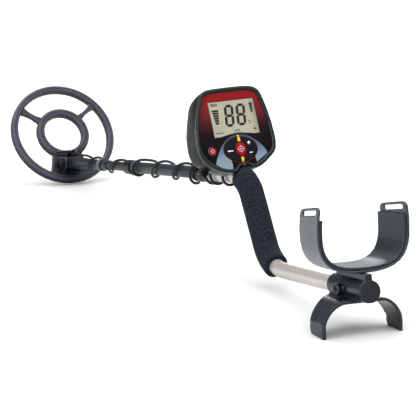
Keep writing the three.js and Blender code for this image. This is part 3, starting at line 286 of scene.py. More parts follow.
def faceplate_print():
    """Screen print that runs from red at the top of the face to near black below, under a clear hard coat."""
    look = Surface("faceplate_print", Coat_Weight=0.03, Coat_Roughness=0.12, Specular_IOR_Level=0.06)
    place = look.stretched(FACE)
    split = look.node("ShaderNodeSeparateXYZ")
    look.link(place, split.inputs["Vector"])
    speck = look.noise(2.2, 3, 0.7, place=place)
    cloud = look.noise(0.05, 3, 0.6, place=place)
    height = look.math("ADD", split.outputs["Y"],
                       look.math("MULTIPLY", look.math("SUBTRACT", speck, 0.5), 5.0))
    height = look.math("ADD", height, look.math("MULTIPLY", look.math("SUBTRACT", cloud, 0.5), 6.0))
    colour = look.ramp(look.spread(height, -46, 42),
                       (0.0, rgb(12, 8, 11)), (0.3, rgb(22, 12, 15)), (0.5, rgb(66, 24, 28)),
                       (0.66, rgb(98, 28, 32)), (0.82, rgb(120, 20, 24)), (1.0, rgb(130, 20, 22)))
    look.colour(colour)
    look.rough(look.spread(speck, 0.3, 0.7, 0.28, 0.4))
    look.bump(speck, 0.00001, 0.4)
    return look.material


def screen():
    """Reflective liquid-crystal panel: grey-green glass that is a little darker towards its right edge."""
    look = Surface("lcd_panel", Coat_Weight=0.1, Coat_Roughness=0.06, Specular_IOR_Level=0.2)
    place = look.stretched(FACE)
    split = look.node("ShaderNodeSeparateXYZ")
    look.link(place, split.inputs["Vector"])
    grid = look.noise(1.6, 2, 0.5, place=place)
    cloud = look.noise(0.03, 3, 0.5, place=place)
    edge = look.spread(split.outputs["X"], 26, 37)
    base = look.ramp(cloud, (0.3, rgb(146, 143, 124)), (0.7, rgb(160, 157, 137)))
    base = look.mix(look.spread(grid, 0.35, 0.7, 0, 0.25), base, rgb(148, 146, 124))
    look.colour(look.mix(look.math("MULTIPLY", edge, 0.6), base, rgb(96, 96, 84)))
    look.rough(look.spread(grid, 0.3, 0.7, 0.2, 0.3))
    return look.material


def printed(name, base, roughness=0.35, variation=0.1, coat=0.05):
    look = Surface(name, Coat_Weight=coat, Coat_Roughness=0.2, Specular_IOR_Level=0.2)
    speck = look.noise(2400, 3, 0.6)
    cloud = look.noise(90, 3, 0.5)
    shade = look.math("ADD", look.math("MULTIPLY", speck, 0.4), look.math("MULTIPLY", cloud, 0.6))
    look.colour(look.ramp(shade, (0.3, lighter(base, 1 - variation)), (0.7, lighter(base, 1 + variation))))
    look.rough(look.spread(speck, 0.3, 0.7, roughness - 0.05, roughness + 0.06))
    return look.material


def silver_blue():
    """Metallic blue-grey print that pales towards the bottom of the arch."""
    look = Surface("arch_print", Metallic=0.2, Coat_Weight=0.05, Coat_Roughness=0.2, Specular_IOR_Level=0.2)
    place = look.stretched(FACE)
    split = look.node("ShaderNodeSeparateXYZ")
    look.link(place, split.inputs["Vector"])
    speck = look.noise(3.0, 3, 0.7, place=place)
    height = look.math("ADD", split.outputs["Y"], look.math("MULTIPLY", look.math("SUBTRACT", speck, 0.5), 6))
    look.colour(look.ramp(look.spread(height, -72, -24), (0.0, rgb(126, 140, 150)), (0.3, rgb(112, 130, 146)),
                          (0.6, rgb(72, 94, 122)), (0.85, rgb(52, 70, 96)), (1.0, rgb(38, 48, 68))))
    look.rough(look.spread(speck, 0.3, 0.7, 0.34, 0.46))
    return look.material


def woven_strap():
    """Hook-and-loop tape: a tight nap of short loops over a woven ground."""
    look = Surface("hook_and_loop", Sheen_Weight=0.3, Sheen_Roughness=0.5, Specular_IOR_Level=0.2)
    nap = look.noise(2300, 4, 0.8)
    weave = look.cells(900)
    shade = look.math("ADD", look.math("MULTIPLY", nap, 0.6), look.math("MULTIPLY", weave, 0.5))
    look.colour(look.ramp(shade, (0.25, rgb(14, 14, 17)), (0.75, rgb(44, 45, 52))))
    look.rough(look.spread(nap, 0.3, 0.7, 0.85, 1.0))
    look.bump(shade, 0.0004, 0.9)
    return look.material


def circuit():
    look = Surface("solder_mask", Coat_Weight=0.4, Coat_Roughness=0.1)
    place = look.stretched(FACE)
    tracks = look.node("ShaderNodeTexBrick")
    look.link(place, tracks.inputs["Vector"])
    tracks.inputs["Scale"].default_value = 0.22
    tracks.inputs["Color1"].default_value = rgb(24, 84, 48)
    tracks.inputs["Color2"].default_value = rgb(30, 96, 56)
    tracks.inputs["Mortar"].default_value = rgb(150, 140, 90)
    tracks.inputs["Mortar Size"].default_value = 0.03
    look.colour(look.mix(look.spread(look.noise(900, 3), 0.4, 0.7, 0, 0.4),
                         tracks.outputs["Color"], rgb(18, 62, 36)))
    look.rough(look.spread(look.noise(1500, 2), 0.3, 0.7, 0.25, 0.4))
    return look.material


def cable_sheath():
    """Soft rubber sheath with a fine lengthways bloom."""
    look = Surface("cable_sheath", Coat_Weight=0.05, Coat_Roughness=0.3, Specular_IOR_Level=0.25)
    fine = look.noise(1500, 3, 0.6)
    wide = look.noise(110, 3, 0.6)
    look.colour(look.ramp(look.math("ADD", look.math("MULTIPLY", fine, 0.35),
                                    look.math("MULTIPLY", wide, 0.65)),
                          (0.3, rgb(8, 9, 11)), (0.72, rgb(20, 22, 25))))
    look.rough(look.spread(fine, 0.3, 0.7, 0.34, 0.5))
    look.bump(fine, 0.00005, 0.6)
    return look.material


def coil_plastic():
    """Violet-grey structural plastic: speckled, with a painted highlight on its edges, painted shade to near
    black towards the underside and a painted shadow to near black round the ears.
    """
    look = Surface("coil_plastic", Specular_IOR_Level=0.14)
    place = look.stretched(COIL)
    split = look.node("ShaderNodeSeparateXYZ")
    look.link(place, split.inputs["Vector"])
    blotches = look.noise(30, 4, 0.6)
    speckle = look.noise(900, 3, 0.75)
    fine = look.noise(1500, 2, 0.7)
    shade = look.math("ADD", look.math("MULTIPLY", blotches, 0.5), look.math("MULTIPLY", speckle, 0.5))
    colour = look.ramp(shade, (0.32, rgb(31, 30, 37)), (0.5, rgb(43, 42, 51)), (0.68, rgb(63, 62, 73)))
    # Painted highlight: the rims' rounded edges are mixed towards a pale violet-grey.
    colour = look.mix(look.math("MULTIPLY", look.edges(0.502, 0.53), 0.6), colour, rgb(112, 112, 126))
    # Painted shade: the side walls darken to near black towards the underside.
    side = look.spread(split.outputs["Z"], 6.2, 2.6)
    colour = look.mix(look.math("MULTIPLY", side, 0.7), colour, rgb(23, 23, 29))
    # Painted shadow: the plate round the ears, under the stem, turns near black.
    centre = look.node("ShaderNodeVectorMath", operation="DISTANCE")
    look.link(place, centre.inputs[0])
    centre.inputs[1].default_value = (8, -68, 10)
    ear_shadow = look.spread(centre.outputs["Value"], 54, 22)
    look.colour(look.mix(look.math("MULTIPLY", ear_shadow, 0.85), colour, rgb(18, 17, 21)))
    look.rough(look.spread(speckle, 0.3, 0.7, 0.34, 0.48))
    look.bump(look.math("ADD", fine, speckle), 0.0001, 0.7)
    return look.material


LOOKS = {
    "coil": coil_plastic(),
    "skid": moulded("skid_plastic", rgb(18, 18, 22), 0.42, 1500, 0.00008, 40, 2.0, gloss=0.16),
    "stem": moulded("stem_plastic", rgb(27, 31, 34), 0.36, 1500, 0.00006, 40, 1.7, gloss=0.16),
    "cuff": moulded("cuff_plastic", rgb(37, 45, 52), 0.3, 1200, 0.00004, 35, 1.6, coat=0.35, variation=0.12),
    "stand": moulded("stand_plastic", rgb(26, 30, 36), 0.27, 1200, 0.00005, 35, 2.2, coat=0.3, gloss=0.2),
    "cap": moulded("end_cap_plastic", rgb(24, 27, 32), 0.4, 1500, 0.00006, 50, 1.8),
    "housing": moulded("housing_plastic", rgb(10, 13, 10), 0.32, 1500, 0.00006, 40, 2.0, gloss=0.07),
    "bezel": moulded("bezel_plastic", rgb(25, 32, 32), 0.24, 1500, 0.00004, 40, 2.0, coat=0.18, gloss=0.12),
    "black": moulded("black_plastic", rgb(11, 12, 14), 0.33, 1500, 0.00006, 60, 2.4, gloss=0.12),
    "pad": moulded("pad_rubber", rgb(34, 40, 46), 0.4, 900, 0.00005, 50, 1.5, coat=0.1, variation=0.12,
                   gloss=0.25),
    "rubber": moulded("black_rubber", rgb(11, 12, 14), 0.46, 1300, 0.0001, 60, 2.2, gloss=0.14),
    "washer": moulded("friction_rubber", rgb(22, 22, 26), 0.7, 1300, 0.00012, 60, 1.8, gloss=0.14),
    "key": moulded("key_rubber", rgb(14, 15, 19), 0.36, 1600, 0.00005, 70, 1.9, gloss=0.1),
    "red_key": moulded("red_key", rgb(124, 6, 10), 0.24, 1600, 0.00003, 70, 1.2, coat=0.12, scuffs=0.1,
                       gloss=0.1),
    "steel": metal("zinc_steel", rgb(150, 153, 158), 0.3),
    "dark_steel": metal("black_steel", rgb(34, 35, 40), 0.34, metallic=0.85, wear=2.4),
    "copper": metal("enamelled_copper", rgb(176, 98, 56), 0.35),
    "battery": metal("battery_case", rgb(120, 118, 112), 0.35, 500, 0.7),
    "cone": moulded("speaker_paper", rgb(32, 31, 34), 0.75, 900, 0.0002, 80, 1.6),
    "tube": anodised_tube(),
    "foam": foam_rubber(),
    "face": faceplate_print(),
    "screen": screen(),
    "arch": silver_blue(),
    "ink": printed("lcd_ink", rgb(20, 21, 20), 0.4, 0.25),
    "yellow": printed("yellow_print", rgb(240, 188, 10), 0.35),
    "red_line": printed("red_print", rgb(104, 20, 24), 0.4),
    "blue_line": printed("blue_print", rgb(112, 142, 172), 0.4),
    "white": printed("white_print", rgb(222, 220, 224), 0.4),
    "pale": printed("pale_print", rgb(196, 160, 158), 0.4),
    "strap": woven_strap(),
    "board": circuit(),
    "cable": cable_sheath(),
}


# ---- mesh helpers ---------------------------------------------------------------------------------------

def shade(mesh, degrees=32):
    mesh.shade_smooth()
    mesh.set_sharp_from_angle(angle=math.radians(degrees))


def piece(name, mesh, look, body=None, degrees=32):
    made = bpy.data.objects.new(name, mesh)
    bpy.context.scene.collection.objects.link(made)
    mesh.materials.clear()
    mesh.materials.append(LOOKS[look])
    shade(mesh, degrees)
    if body:
        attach(made, body)
    return made


def mesh_of(name, vertices, faces):
    mesh = bpy.data.meshes.new(name)
    mesh.from_pydata([tuple(v) for v in vertices], [], faces)
    mesh.validate()
    return mesh


def welded(node):
    """The CAD node's mesh as one closed bmesh."""
    made = bmesh.new()
    made.from_mesh(NODES[node].data)
    bmesh.ops.remove_doubles(made, verts=made.verts, dist=2e-6)
    return made


def applied(made, *modifiers):
    """The object's mesh with modifiers (kind, settings) applied."""
    for kind, settings in modifiers:
        modifier = made.modifiers.new(kind.lower(), kind)
        for key, value in settings.items():
            setattr(modifier, key, value)
    graph = bpy.context.evaluated_depsgraph_get()
    mesh = bpy.data.meshes.new_from_object(made.evaluated_get(graph))
    made.modifiers.clear()
    return mesh


def rounded(node, look, voxel, smooth=4, name=None, factor=0.5):
    """A copy of a CAD node with its edges rounded off as in a mould, which stands for the node."""
    source = welded(node)
    mesh = bpy.data.meshes.new(node + "_copy")
    source.to_mesh(mesh)
    source.free()
    helper = bpy.data.objects.new(node + "_helper", mesh)
    bpy.context.scene.collection.objects.link(helper)
    result = applied(helper, ("REMESH", {"mode": "VOXEL", "voxel_size": voxel * MM, "adaptivity": 0}),
                     ("SMOOTH", {"factor": factor, "iterations": smooth}))
    bpy.data.objects.remove(helper)
    result.name = name or node + "_moulded"
    made = piece(result.name, result, look, NODES[node]["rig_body"], 60)
    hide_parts(node)
    return made


def bevelled(node, look, width, segments=2, name=None, degrees=40):
    """A copy of a CAD node with its sharp edges bevelled, which stands for the node."""
    source = welded(node)
    bmesh.ops.dissolve_limit(source, angle_limit=math.radians(0.6), verts=source.verts, edges=source.edges)
    mesh = bpy.data.meshes.new(node + "_copy")
    source.to_mesh(mesh)
    source.free()
    helper = bpy.data.objects.new(node + "_helper", mesh)
    bpy.context.scene.collection.objects.link(helper)
    result = applied(helper, ("BEVEL", {"width": width * MM, "segments": segments, "limit_method": "ANGLE",
                                        "angle_limit": math.radians(degrees), "use_clamp_overlap": True}))
    bpy.data.objects.remove(helper)
    result.name = name or node + "_finished"
    made = piece(result.name, result, look, NODES[node]["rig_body"], 30)
    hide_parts(node)
    return made


def keep(look, *names):
    """CAD nodes that are shown as they are, with a finished material."""
    for name in names:
        mesh = NODES[name].data
        mesh.materials.clear()
        mesh.materials.append(LOOKS[look])


def ring(centre, tangent, side, radius, count):
    down = tangent.cross(side).normalized()
    return [centre + side * (radius * math.cos(2 * math.pi * i / count))
            + down * (radius * math.sin(2 * math.pi * i / count)) for i in range(count)]


def tube_mesh(name, rings, matrix, closed_loop=False):
    """A surface through rings of points; each end is a flat face, or the last ring joins the first."""
    count = len(rings[0])
    vertices = [matrix @ point for row in rings for point in row]
    rows = len(rings)
    faces = []
    for r in range(rows if closed_loop else rows - 1):
        a, b = r * count, ((r + 1) % rows) * count
        for i in range(count):
            j = (i + 1) % count
            faces.append((a + i, a + j, b + j, b + i))
    if not closed_loop:
        faces.append(tuple(reversed(range(count))))
        faces.append(tuple((rows - 1) * count + i for i in range(count)))
    mesh = mesh_of(name, vertices, faces)
    layer = mesh.uv_layers.new(name="along")
    length = [0.0]
    for before, after in zip(rings, rings[1:]):
        length.append(length[-1] + (sum(after, Vector()) - sum(before, Vector())).length / count)
    for polygon in mesh.polygons:
        corners = [mesh.loops[k].vertex_index for k in polygon.loop_indices]
        wraps = max(c % count for c in corners) - min(c % count for c in corners) > count / 2
        for k, corner in zip(polygon.loop_indices, corners):
            around = corner % count
            if wraps and around == 0:
                around = count
            layer.data[k].uv = (around / count, length[corner // count] * 0.01)
    work = bmesh.new()
    work.from_mesh(mesh)
    bmesh.ops.recalc_face_normals(work, faces=work.faces)
    work.to_mesh(mesh)
    work.free()
    return mesh


def prism(name, outlines, low, high, look, body="handle"):
    """Flat shapes on the face, each an outline of (u, w) points, between two heights above the display."""
    work = bmesh.new()
    up = FACE @ Vector((0, 0, high)) - FACE @ Vector((0, 0, low))
    for outline in outlines:
        base = work.faces.new([work.verts.new(FACE @ Vector((u, w, low))) for u, w in outline])
        lifted = bmesh.ops.extrude_face_region(work, geom=[base])
        raised = [v for v in lifted["geom"] if isinstance(v, bmesh.types.BMVert)]
        bmesh.ops.translate(work, vec=up, verts=raised)
    bmesh.ops.recalc_face_normals(work, faces=work.faces)
    mesh = bpy.data.meshes.new(name)
    work.to_mesh(mesh)
    work.free()
    return piece(name, mesh, look, body)


# ---- rod and grip ---------------------------------------------------------------------------------------

class Bend:
    """An arc of a radius, tangent to two directions that meet at a corner."""

    def __init__(self, corner, before, after, radius):
        self.angle = before.angle(after)
        self.start = corner - before * (radius * math.tan(self.angle / 2))
        self.before, self.radius = before, radius
        self.inward = (after - before * after.dot(before)).normalized()

    def at(self, t):
        angle = self.angle * t
        point = self.start + self.before * (self.radius * math.sin(angle)) \
            + self.inward * (self.radius * (1 - math.cos(angle)))
        return point, (self.before * math.cos(angle) + self.inward * math.sin(angle)).normalized()


lower_bend = Bend(lower_corner, arm_direction, grip_direction, LOWER_BEND)
upper_bend = Bend(upper_corner, grip_direction, stem_direction, UPPER_BEND)
ACROSS = Vector((1, 0, 0))


def rod_line(first, last):
    """Points and tangents along the rod from a distance past its rear end to one along the stems."""
    line = []
    straight = (lower_bend.start - Vector((0, first, 0))).length
    for i in range(12):
        line.append((Vector((0, first + straight * i / 12, 0)), arm_direction))
    line += [lower_bend.at(i / 24) for i in range(25)]
    end_of_first = line[-1][0]
    gap = upper_bend.start - end_of_first
    line += [(end_of_first + gap * (i / 6), grip_direction) for i in range(1, 6)]
    line += [upper_bend.at(i / 24) for i in range(25)]
    after = line[-1][0]
    rest = upper_corner + stem_direction * last - after
    line += [(after + rest * (i / 10), stem_direction) for i in range(1, 11)]
    return line


def make_rod():
    line = rod_line(3.8, 160)
    outer = [ring(p, t, ACROSS, 11.1, 56) for p, t in line]
    inner = [ring(p, t, ACROSS, 10.05, 56) for p, t in reversed(line)]
    mesh = tube_mesh("arm_tube", outer + inner, ROD, closed_loop=True)
    made = piece("arm_tube", mesh, "tube", "handle", 50)
    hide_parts("s_rod")


def make_foam():
    """The foam sleeve, with rolled ends and a slightly uneven skin."""
    first, last = 0.31, 0.714
    line = [lower_bend.at(first + (1 - first) * i / 26) for i in range(27)]
    gap = upper_bend.start - line[-1][0]
    line += [(line[-1][0] + gap * (i / 44), grip_direction) for i in range(1, 44)]
    line += [upper_bend.at(last * i / 26) for i in range(27)]
    along = [0.0]
    for (before, _), (after, _) in zip(line, line[1:]):
        along.append(along[-1] + (after - before).length)
    total = along[-1]
    count, skin, bore, lip = 88, 17.65, 11.6, 2.2
    rings = []
    for (point, tangent), at in zip(line, along):
        near = min(at, total - at)
        roll = lip - math.sqrt(max(0.0, lip ** 2 - (lip - near) ** 2)) if near < lip else 0.0
        down = tangent.cross(ACROSS).normalized()
        row = []
        for i in range(count):
            angle = 2 * math.pi * i / count
            spot = Vector((math.cos(angle) * 1.7, math.sin(angle) * 1.7, at * 0.1))
            lump = 0.16 * noise.noise(spot * 0.9) + 0.07 * noise.noise(spot * 3.1)
            radius = skin - roll + lump - 0.12
            row.append(point + ACROSS * (radius * math.cos(angle)) + down * (radius * math.sin(angle)))
        rings.append(row)
    inner = [ring(p, t, ACROSS, bore, count) for p, t in reversed(line)]
    ends = [ring(line[-1][0], line[-1][1], ACROSS, bore + 1.2, count),
            ring(line[0][0], line[0][1], ACROSS, bore + 1.2, count)]
    rows = rings + [ends[0]] + inner + [ends[1]]
    made = piece("foam_sleeve", tube_mesh("foam_sleeve", rows, ROD, closed_loop=True), "foam", "handle", 70)
    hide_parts("grip_foam")


# ---- cable ----------------------------------------------------------------------------------------------

CABLE_RADIUS, CABLE_CLEARANCE = 2.25, 1.1
# Quarter turns of the cable round the stems at distances along them: 0 is right, 1 above, 2 left, 3 below.
WINDING = [
    (48, -2.4), (52.5, -2), (57.5, -1), (62, 0), (69, 1), (90, 1.4), (95, 2), (99, 3), (103, 4), (108, 5),
    (112, 6), (117, 7), (124, 8), (142, 8), (153, 9), (177, 11), (258, 15), (346, 19), (360, 20.7),
    (408, 21.2), (414, 22), (417, 23), (420, 24), (454, 24), (466, 23.3), (480, 24), (497, 25), (549, 27),
    (580, 28), (604, 28), (647, 31), (688, 33),
]
# Widest piece under the cable at distances along the stems.
UNDER_CABLE = [
    (0, 11.1), (142, 11.1), (143, 13.9), (176, 13.2), (181, 9.7), (433, 9.7), (434, 12.6), (466, 12.6),
    (477, 10.6), (483, 8.0), (552, 8.0), (555, 9.3), (652, 9.3), (690, 11.6), (760, 11.6),
]


def look_up(table, at):
    distances, values = zip(*table)
    return float(np.interp(at, distances, values))


def quarter_turns(at):
    return sum(look_up(WINDING, at + k * 2) for k in (-1, -0.5, 0, 0.5, 1)) / 5


def winding_point(at):
    angle = quarter_turns(at) * math.pi / 2
    slack = max(0.0, math.sin(angle)) ** 2 if 240 < at < 404 else 0.0
    under = max(look_up(UNDER_CABLE, at + k) for k in (-4, 0, 4))
    radius = under + CABLE_RADIUS + CABLE_CLEARANCE + slack
    return Vector((radius * math.cos(angle), at, radius * math.sin(angle)))


def winding(first, last):
    steps = max(2, round((last - first) / 0.5))
    return [winding_point(first + (last - first) * i / steps) for i in range(steps + 1)]


def smoothed(points, step=1.6):
    """Points spaced evenly along a smooth curve through the given ones, with the ends kept."""
    dense = []
    padded = [points[0] * 2 - points[1]] + points + [points[-1] * 2 - points[-2]]
    for a, b, c, d in zip(padded, padded[1:], padded[2:], padded[3:]):
        pieces = max(1, round((c - b).length / 0.8))
        for i in range(pieces):
            t = i / pieces
            dense.append(0.5 * (2 * b + (c - a) * t + (2 * a - 5 * b + 4 * c - d) * t ** 2
                                + (3 * b - a - 3 * c + d) * t ** 3))
    dense.append(points[-1])
    for _ in range(3):
        between = [(p + q * 2 + r) / 4 for p, q, r in zip(dense, dense[1:], dense[2:])]
        dense = [dense[0]] + between + [dense[-1]]
    length = [0.0]
    for before, after in zip(dense, dense[1:]):
        length.append(length[-1] + (after - before).length)
    count = max(2, round(length[-1] / step))
    wanted = np.linspace(0, length[-1], count + 1)
    columns = [np.interp(wanted, length, [p[k] for p in dense]) for k in range(3)]
    return [Vector(row) for row in zip(*columns)]


def make_cable(name, node, points, bodies):
    points = smoothed(points)
    normal = Vector((0.31, 0.22, 0.92))
    rows = []
    for i, point in enumerate(points):
        tangent = (points[min(i + 1, len(points) - 1)] - points[max(i - 1, 0)]).normalized()
        normal = (normal - tangent * normal.dot(tangent)).normalized()
        binormal = tangent.cross(normal)
        end = 0.35 if i in (0, len(points) - 1) else 0.0
        radius = CABLE_RADIUS - 0.03 - end
        rows.append([point + normal * (radius * math.cos(2 * math.pi * k / 14))
                     + binormal * (radius * math.sin(2 * math.pi * k / 14)) for k in range(14)])
    made = piece(name, tube_mesh(name, rows, STEM), "cable", None, 50)
    if len(bodies) == 1:
        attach(made, bodies[0])
    else:
        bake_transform(made)
    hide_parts(node)
    return sum((q - p).length for p, q in zip(points, points[1:]))


PLUG_SEAT = (-47.5, -67, -31)      # on the housing's lower left wall, in the face's frame
PLUG_DIRECTION = (-0.634, -0.773, 0)


def on_plug(x, y, z):
    """A point in the stems' frame, from its place across, along and out of the cable's round plug."""
    out = Vector(PLUG_DIRECTION).normalized()
    forward = Vector((0, 0, -1))
    across = forward.cross(out)
    spot = Vector(PLUG_SEAT) + across * x + forward * y + out * z
    return STEM.inverted() @ FACE @ spot


def make_cables():
    lead = [(-52, 52.8, 1.8), (-50.4, 58.9, 4.6), (-43, 62, 9), (-32, 61.5, 13), (-22, 59, 14.4),
            (-15.6, 55.6, 10.4)]
    to_gland = STEM.inverted() @ COIL
    gland = [to_gland @ Vector((0, -48.4 - 3.6, 29)), to_gland @ Vector((0, -48.4 - 1.2, 22.9))]
    start = [on_plug(0, y, 6.8) for y in (9.95, 13.5)]
    lengths = [
        make_cable("search_cable_lead", "cable_lead", start + [Vector(p) for p in lead] + winding(52.5, 133),
                   ["handle"]),
        make_cable("search_cable_upper", "cable_upper", winding(133.3, 425.7),
                   ["handle", "middle", Vector((0, 180, 0)), Vector((0, 416, 0))]),
        make_cable("search_cable_lower", "cable_lower", winding(426, 592),
                   ["middle", "lower", Vector((0, 482, 0)), Vector((0, 582, 0))]),
        make_cable("search_cable_tip", "cable_tip", winding(592.3, 688), ["lower"]),
        make_cable("search_cable_end", "cable_end", winding(689.4, 700) + [Vector((0, 716, 15.6)),
                   Vector((0, PIVOT_REACH - 31, 18.5)), Vector((0, PIVOT_REACH - 18, 23.6))] + gland,
                   ["lower", "coil", Vector((0, 700, 15.6)), gland[0]]),
    ]
    print("cable lengths mm", [round(length) for length in lengths], round(sum(lengths)))


# ---- print on the face ----------------------------------------------------------------------------------

FACE_TOP = -0.4
GLASS_TOP = -0.5


def smooth_line(points, per_span=8):
    points = [Vector(p) for p in points]
    padded = [points[0] * 2 - points[1]] + points + [points[-1] * 2 - points[-2]]
    line = []
    for a, b, c, d in zip(padded, padded[1:], padded[2:], padded[3:]):
        for i in range(per_span):
            t = i / per_span
            line.append(0.5 * (2 * b + (c - a) * t + (2 * a - 5 * b + 4 * c - d) * t ** 2
                               + (3 * b - a - 3 * c + d) * t ** 3))
    return line + [points[-1]]


def ellipse(u, w, half_u, half_w, first=0, last=360, steps=40):
    return [Vector((u + half_u * math.cos(math.radians(first + (last - first) * i / steps)),
                    w + half_w * math.sin(math.radians(first + (last - first) * i / steps))))
            for i in range(steps + 1)]


def clipped(outline, edge_from, edge_to):
    """The part of an outline to the left of a line."""
    a, b = Vector(edge_from), Vector(edge_to)
    direction = b - a

    def side(p):
        return direction.x * (p.y - a.y) - direction.y * (p.x - a.x)

    result = []
    for p, q in zip(outline, outline[1:] + outline[:1]):
        if side(p) >= 0:
            result.append(p)
        if side(p) * side(q) < 0:
            result.append(p + (q - p) * (side(p) / (side(p) - side(q))))
    return result


def bar(u0, u1, w0, w1):
    return [(u0, w0), (u1, w0), (u1, w1), (u0, w1)]


def band(outer, inner):
    """An open band between two lines of the same length, as one outline."""
    return list(outer) + list(reversed(inner))


def make_arch():
    outer = smooth_line([(-47, -78), (-44.4, -69), (-38.3, -55.7), (-27.4, -39), (-14, -28.4), (0, -25.2),
                         (13.4, -27.6), (26, -35.8), (35.8, -46.3), (41, -57.4), (44, -70)])
    key = ellipse(0, -47, 26.9, 18.5, -38, 218, 60)
    outline = [Vector(p) for p in reversed(outer)]
    outline += [Vector((-17.6, -78)), Vector((-17.2, -67)), Vector((-18, -61.2))]
    outline += list(reversed(key)) + [Vector((20.4, -62)), Vector((22, -69)), Vector((22.6, -76))]
    for first, last in (((-60, -40), (-49.4, -60.4)), ((-49.4, -60.4), (-30, -73.2)), ((-31, -74), (30, -74)),
                        ((18.2, -70.3), (42.6, -56)), ((42.6, -56), (51.5, -44))):
        outline = clipped(outline, first, last)
    prism("print_arch", [outline], FACE_TOP + 0.02, FACE_TOP + 0.14, "arch")


def digit(u, w, width=14.6, height=32.4, lean=0.11, thick=4.0, gap=0.35):
    """The seven segments of a figure eight, each pointed at both ends, leaning to the right."""
    half = thick / 2
    middle = w + height / 2
    segments = []

    def leaning(points):
        return [(p + (q - w) * lean, q) for p, q in points]

    def level(height_at, left, right):
        return leaning([(left + gap, height_at), (left + gap + half, height_at - half),
                        (right - gap - half, height_at - half), (right - gap, height_at),
                        (right - gap - half, height_at + half), (left + gap + half, height_at + half)])

    def upright(across, low, high):
        foot, head = low + gap, high - gap
        return leaning([(across, foot), (across + half, foot + half), (across + half, head - half),
                        (across, head), (across - half, head - half), (across - half, foot + half)])

    left, right = u + half, u + width - half
    for height_at in (w + half, middle, w + height - half):
        segments.append(level(height_at, left, right))
    for across in (left, right):
        segments.append(upright(across, w + half, middle))
        segments.append(upright(across, middle, w + height - half))
    return segments


def make_display():
    shapes = digit(-15.6, -12.9) + digit(3.0, -12.9)
    # A column of level bars that narrow downwards, under a small cell sign.
    for i in range(6):
        top = 13.6 - i * 3.6
        half = 5.4 - i * 0.5
        low = top - 3.0
        shapes.append([(-27.2 - half, top), (-26.8 - half, low), (-27.6 + half, low), (-27.2 + half, top)])
    cell_top, cell_low = 23.2, 19.2
    shapes += [bar(-32.6, -22.8, cell_top - 0.7, cell_top), bar(-32.6, -22.8, cell_low, cell_low + 0.7),
               bar(-32.6, -31.9, cell_low + 0.7, cell_top - 0.7),
               bar(-23.5, -22.8, cell_low + 0.7, cell_top - 0.7),
               bar(-22.6, -21.8, cell_low + 1.2, cell_top - 1.2)]
    shapes += [bar(-31.2 + i * 2.5, -29.4 + i * 2.5, cell_low + 1.3, cell_top - 1.3) for i in range(3)]
    # Four short bars at the upper right, and two dashes beside the figures.
    for i in range(5):
        top = 19.2 - i * 2.9
        half = 2.7 - i * 0.3
        shapes.append(bar(30.2 - half, 30.2 + half, top - 2.5, top))
    shapes += [bar(21.4, 24.4, -7.4, -6.3), bar(22.4, 25.0, -10.9, -9.7)]
    # Small generic signs along the bottom: a row of dots, a coil over the ground, and a triangle.
    shapes += [bar(-32.4 + i * 3.1, -30.6 + i * 3.1, -21.6, -19.8) for i in range(4)]
    shapes += [bar(-31.4 + i * 3.1, -31.0 + i * 3.1, -19.2, -18.2) for i in range(4)]
    ring_outer, ring_inner = ellipse(1.6, -18.6, 4.4, 1.3, steps=28), ellipse(1.6, -18.6, 3.4, 0.65, steps=28)
    shapes += [band(ring_outer[:15], ring_inner[:15]), band(ring_outer[14:], ring_inner[14:])]
    shapes += [bar(-3.6, 6.8, -21.9, -21.3)]
    shapes += [[(27.0, -20.6), (31.6, -20.6), (29.3, -16.8)]]
    prism("lcd_segments", shapes, GLASS_TOP + 0.02, GLASS_TOP + 0.1, "ink")
    frame_shapes = [bar(-36.3, 36.3, 25.3, 26.2), bar(-36.3, -35.7, -26.2, 25.3),
                    bar(35.7, 36.3, -26.2, 25.3)]
    prism("lcd_border", frame_shapes, GLASS_TOP + 0.02, GLASS_TOP + 0.08, "black")


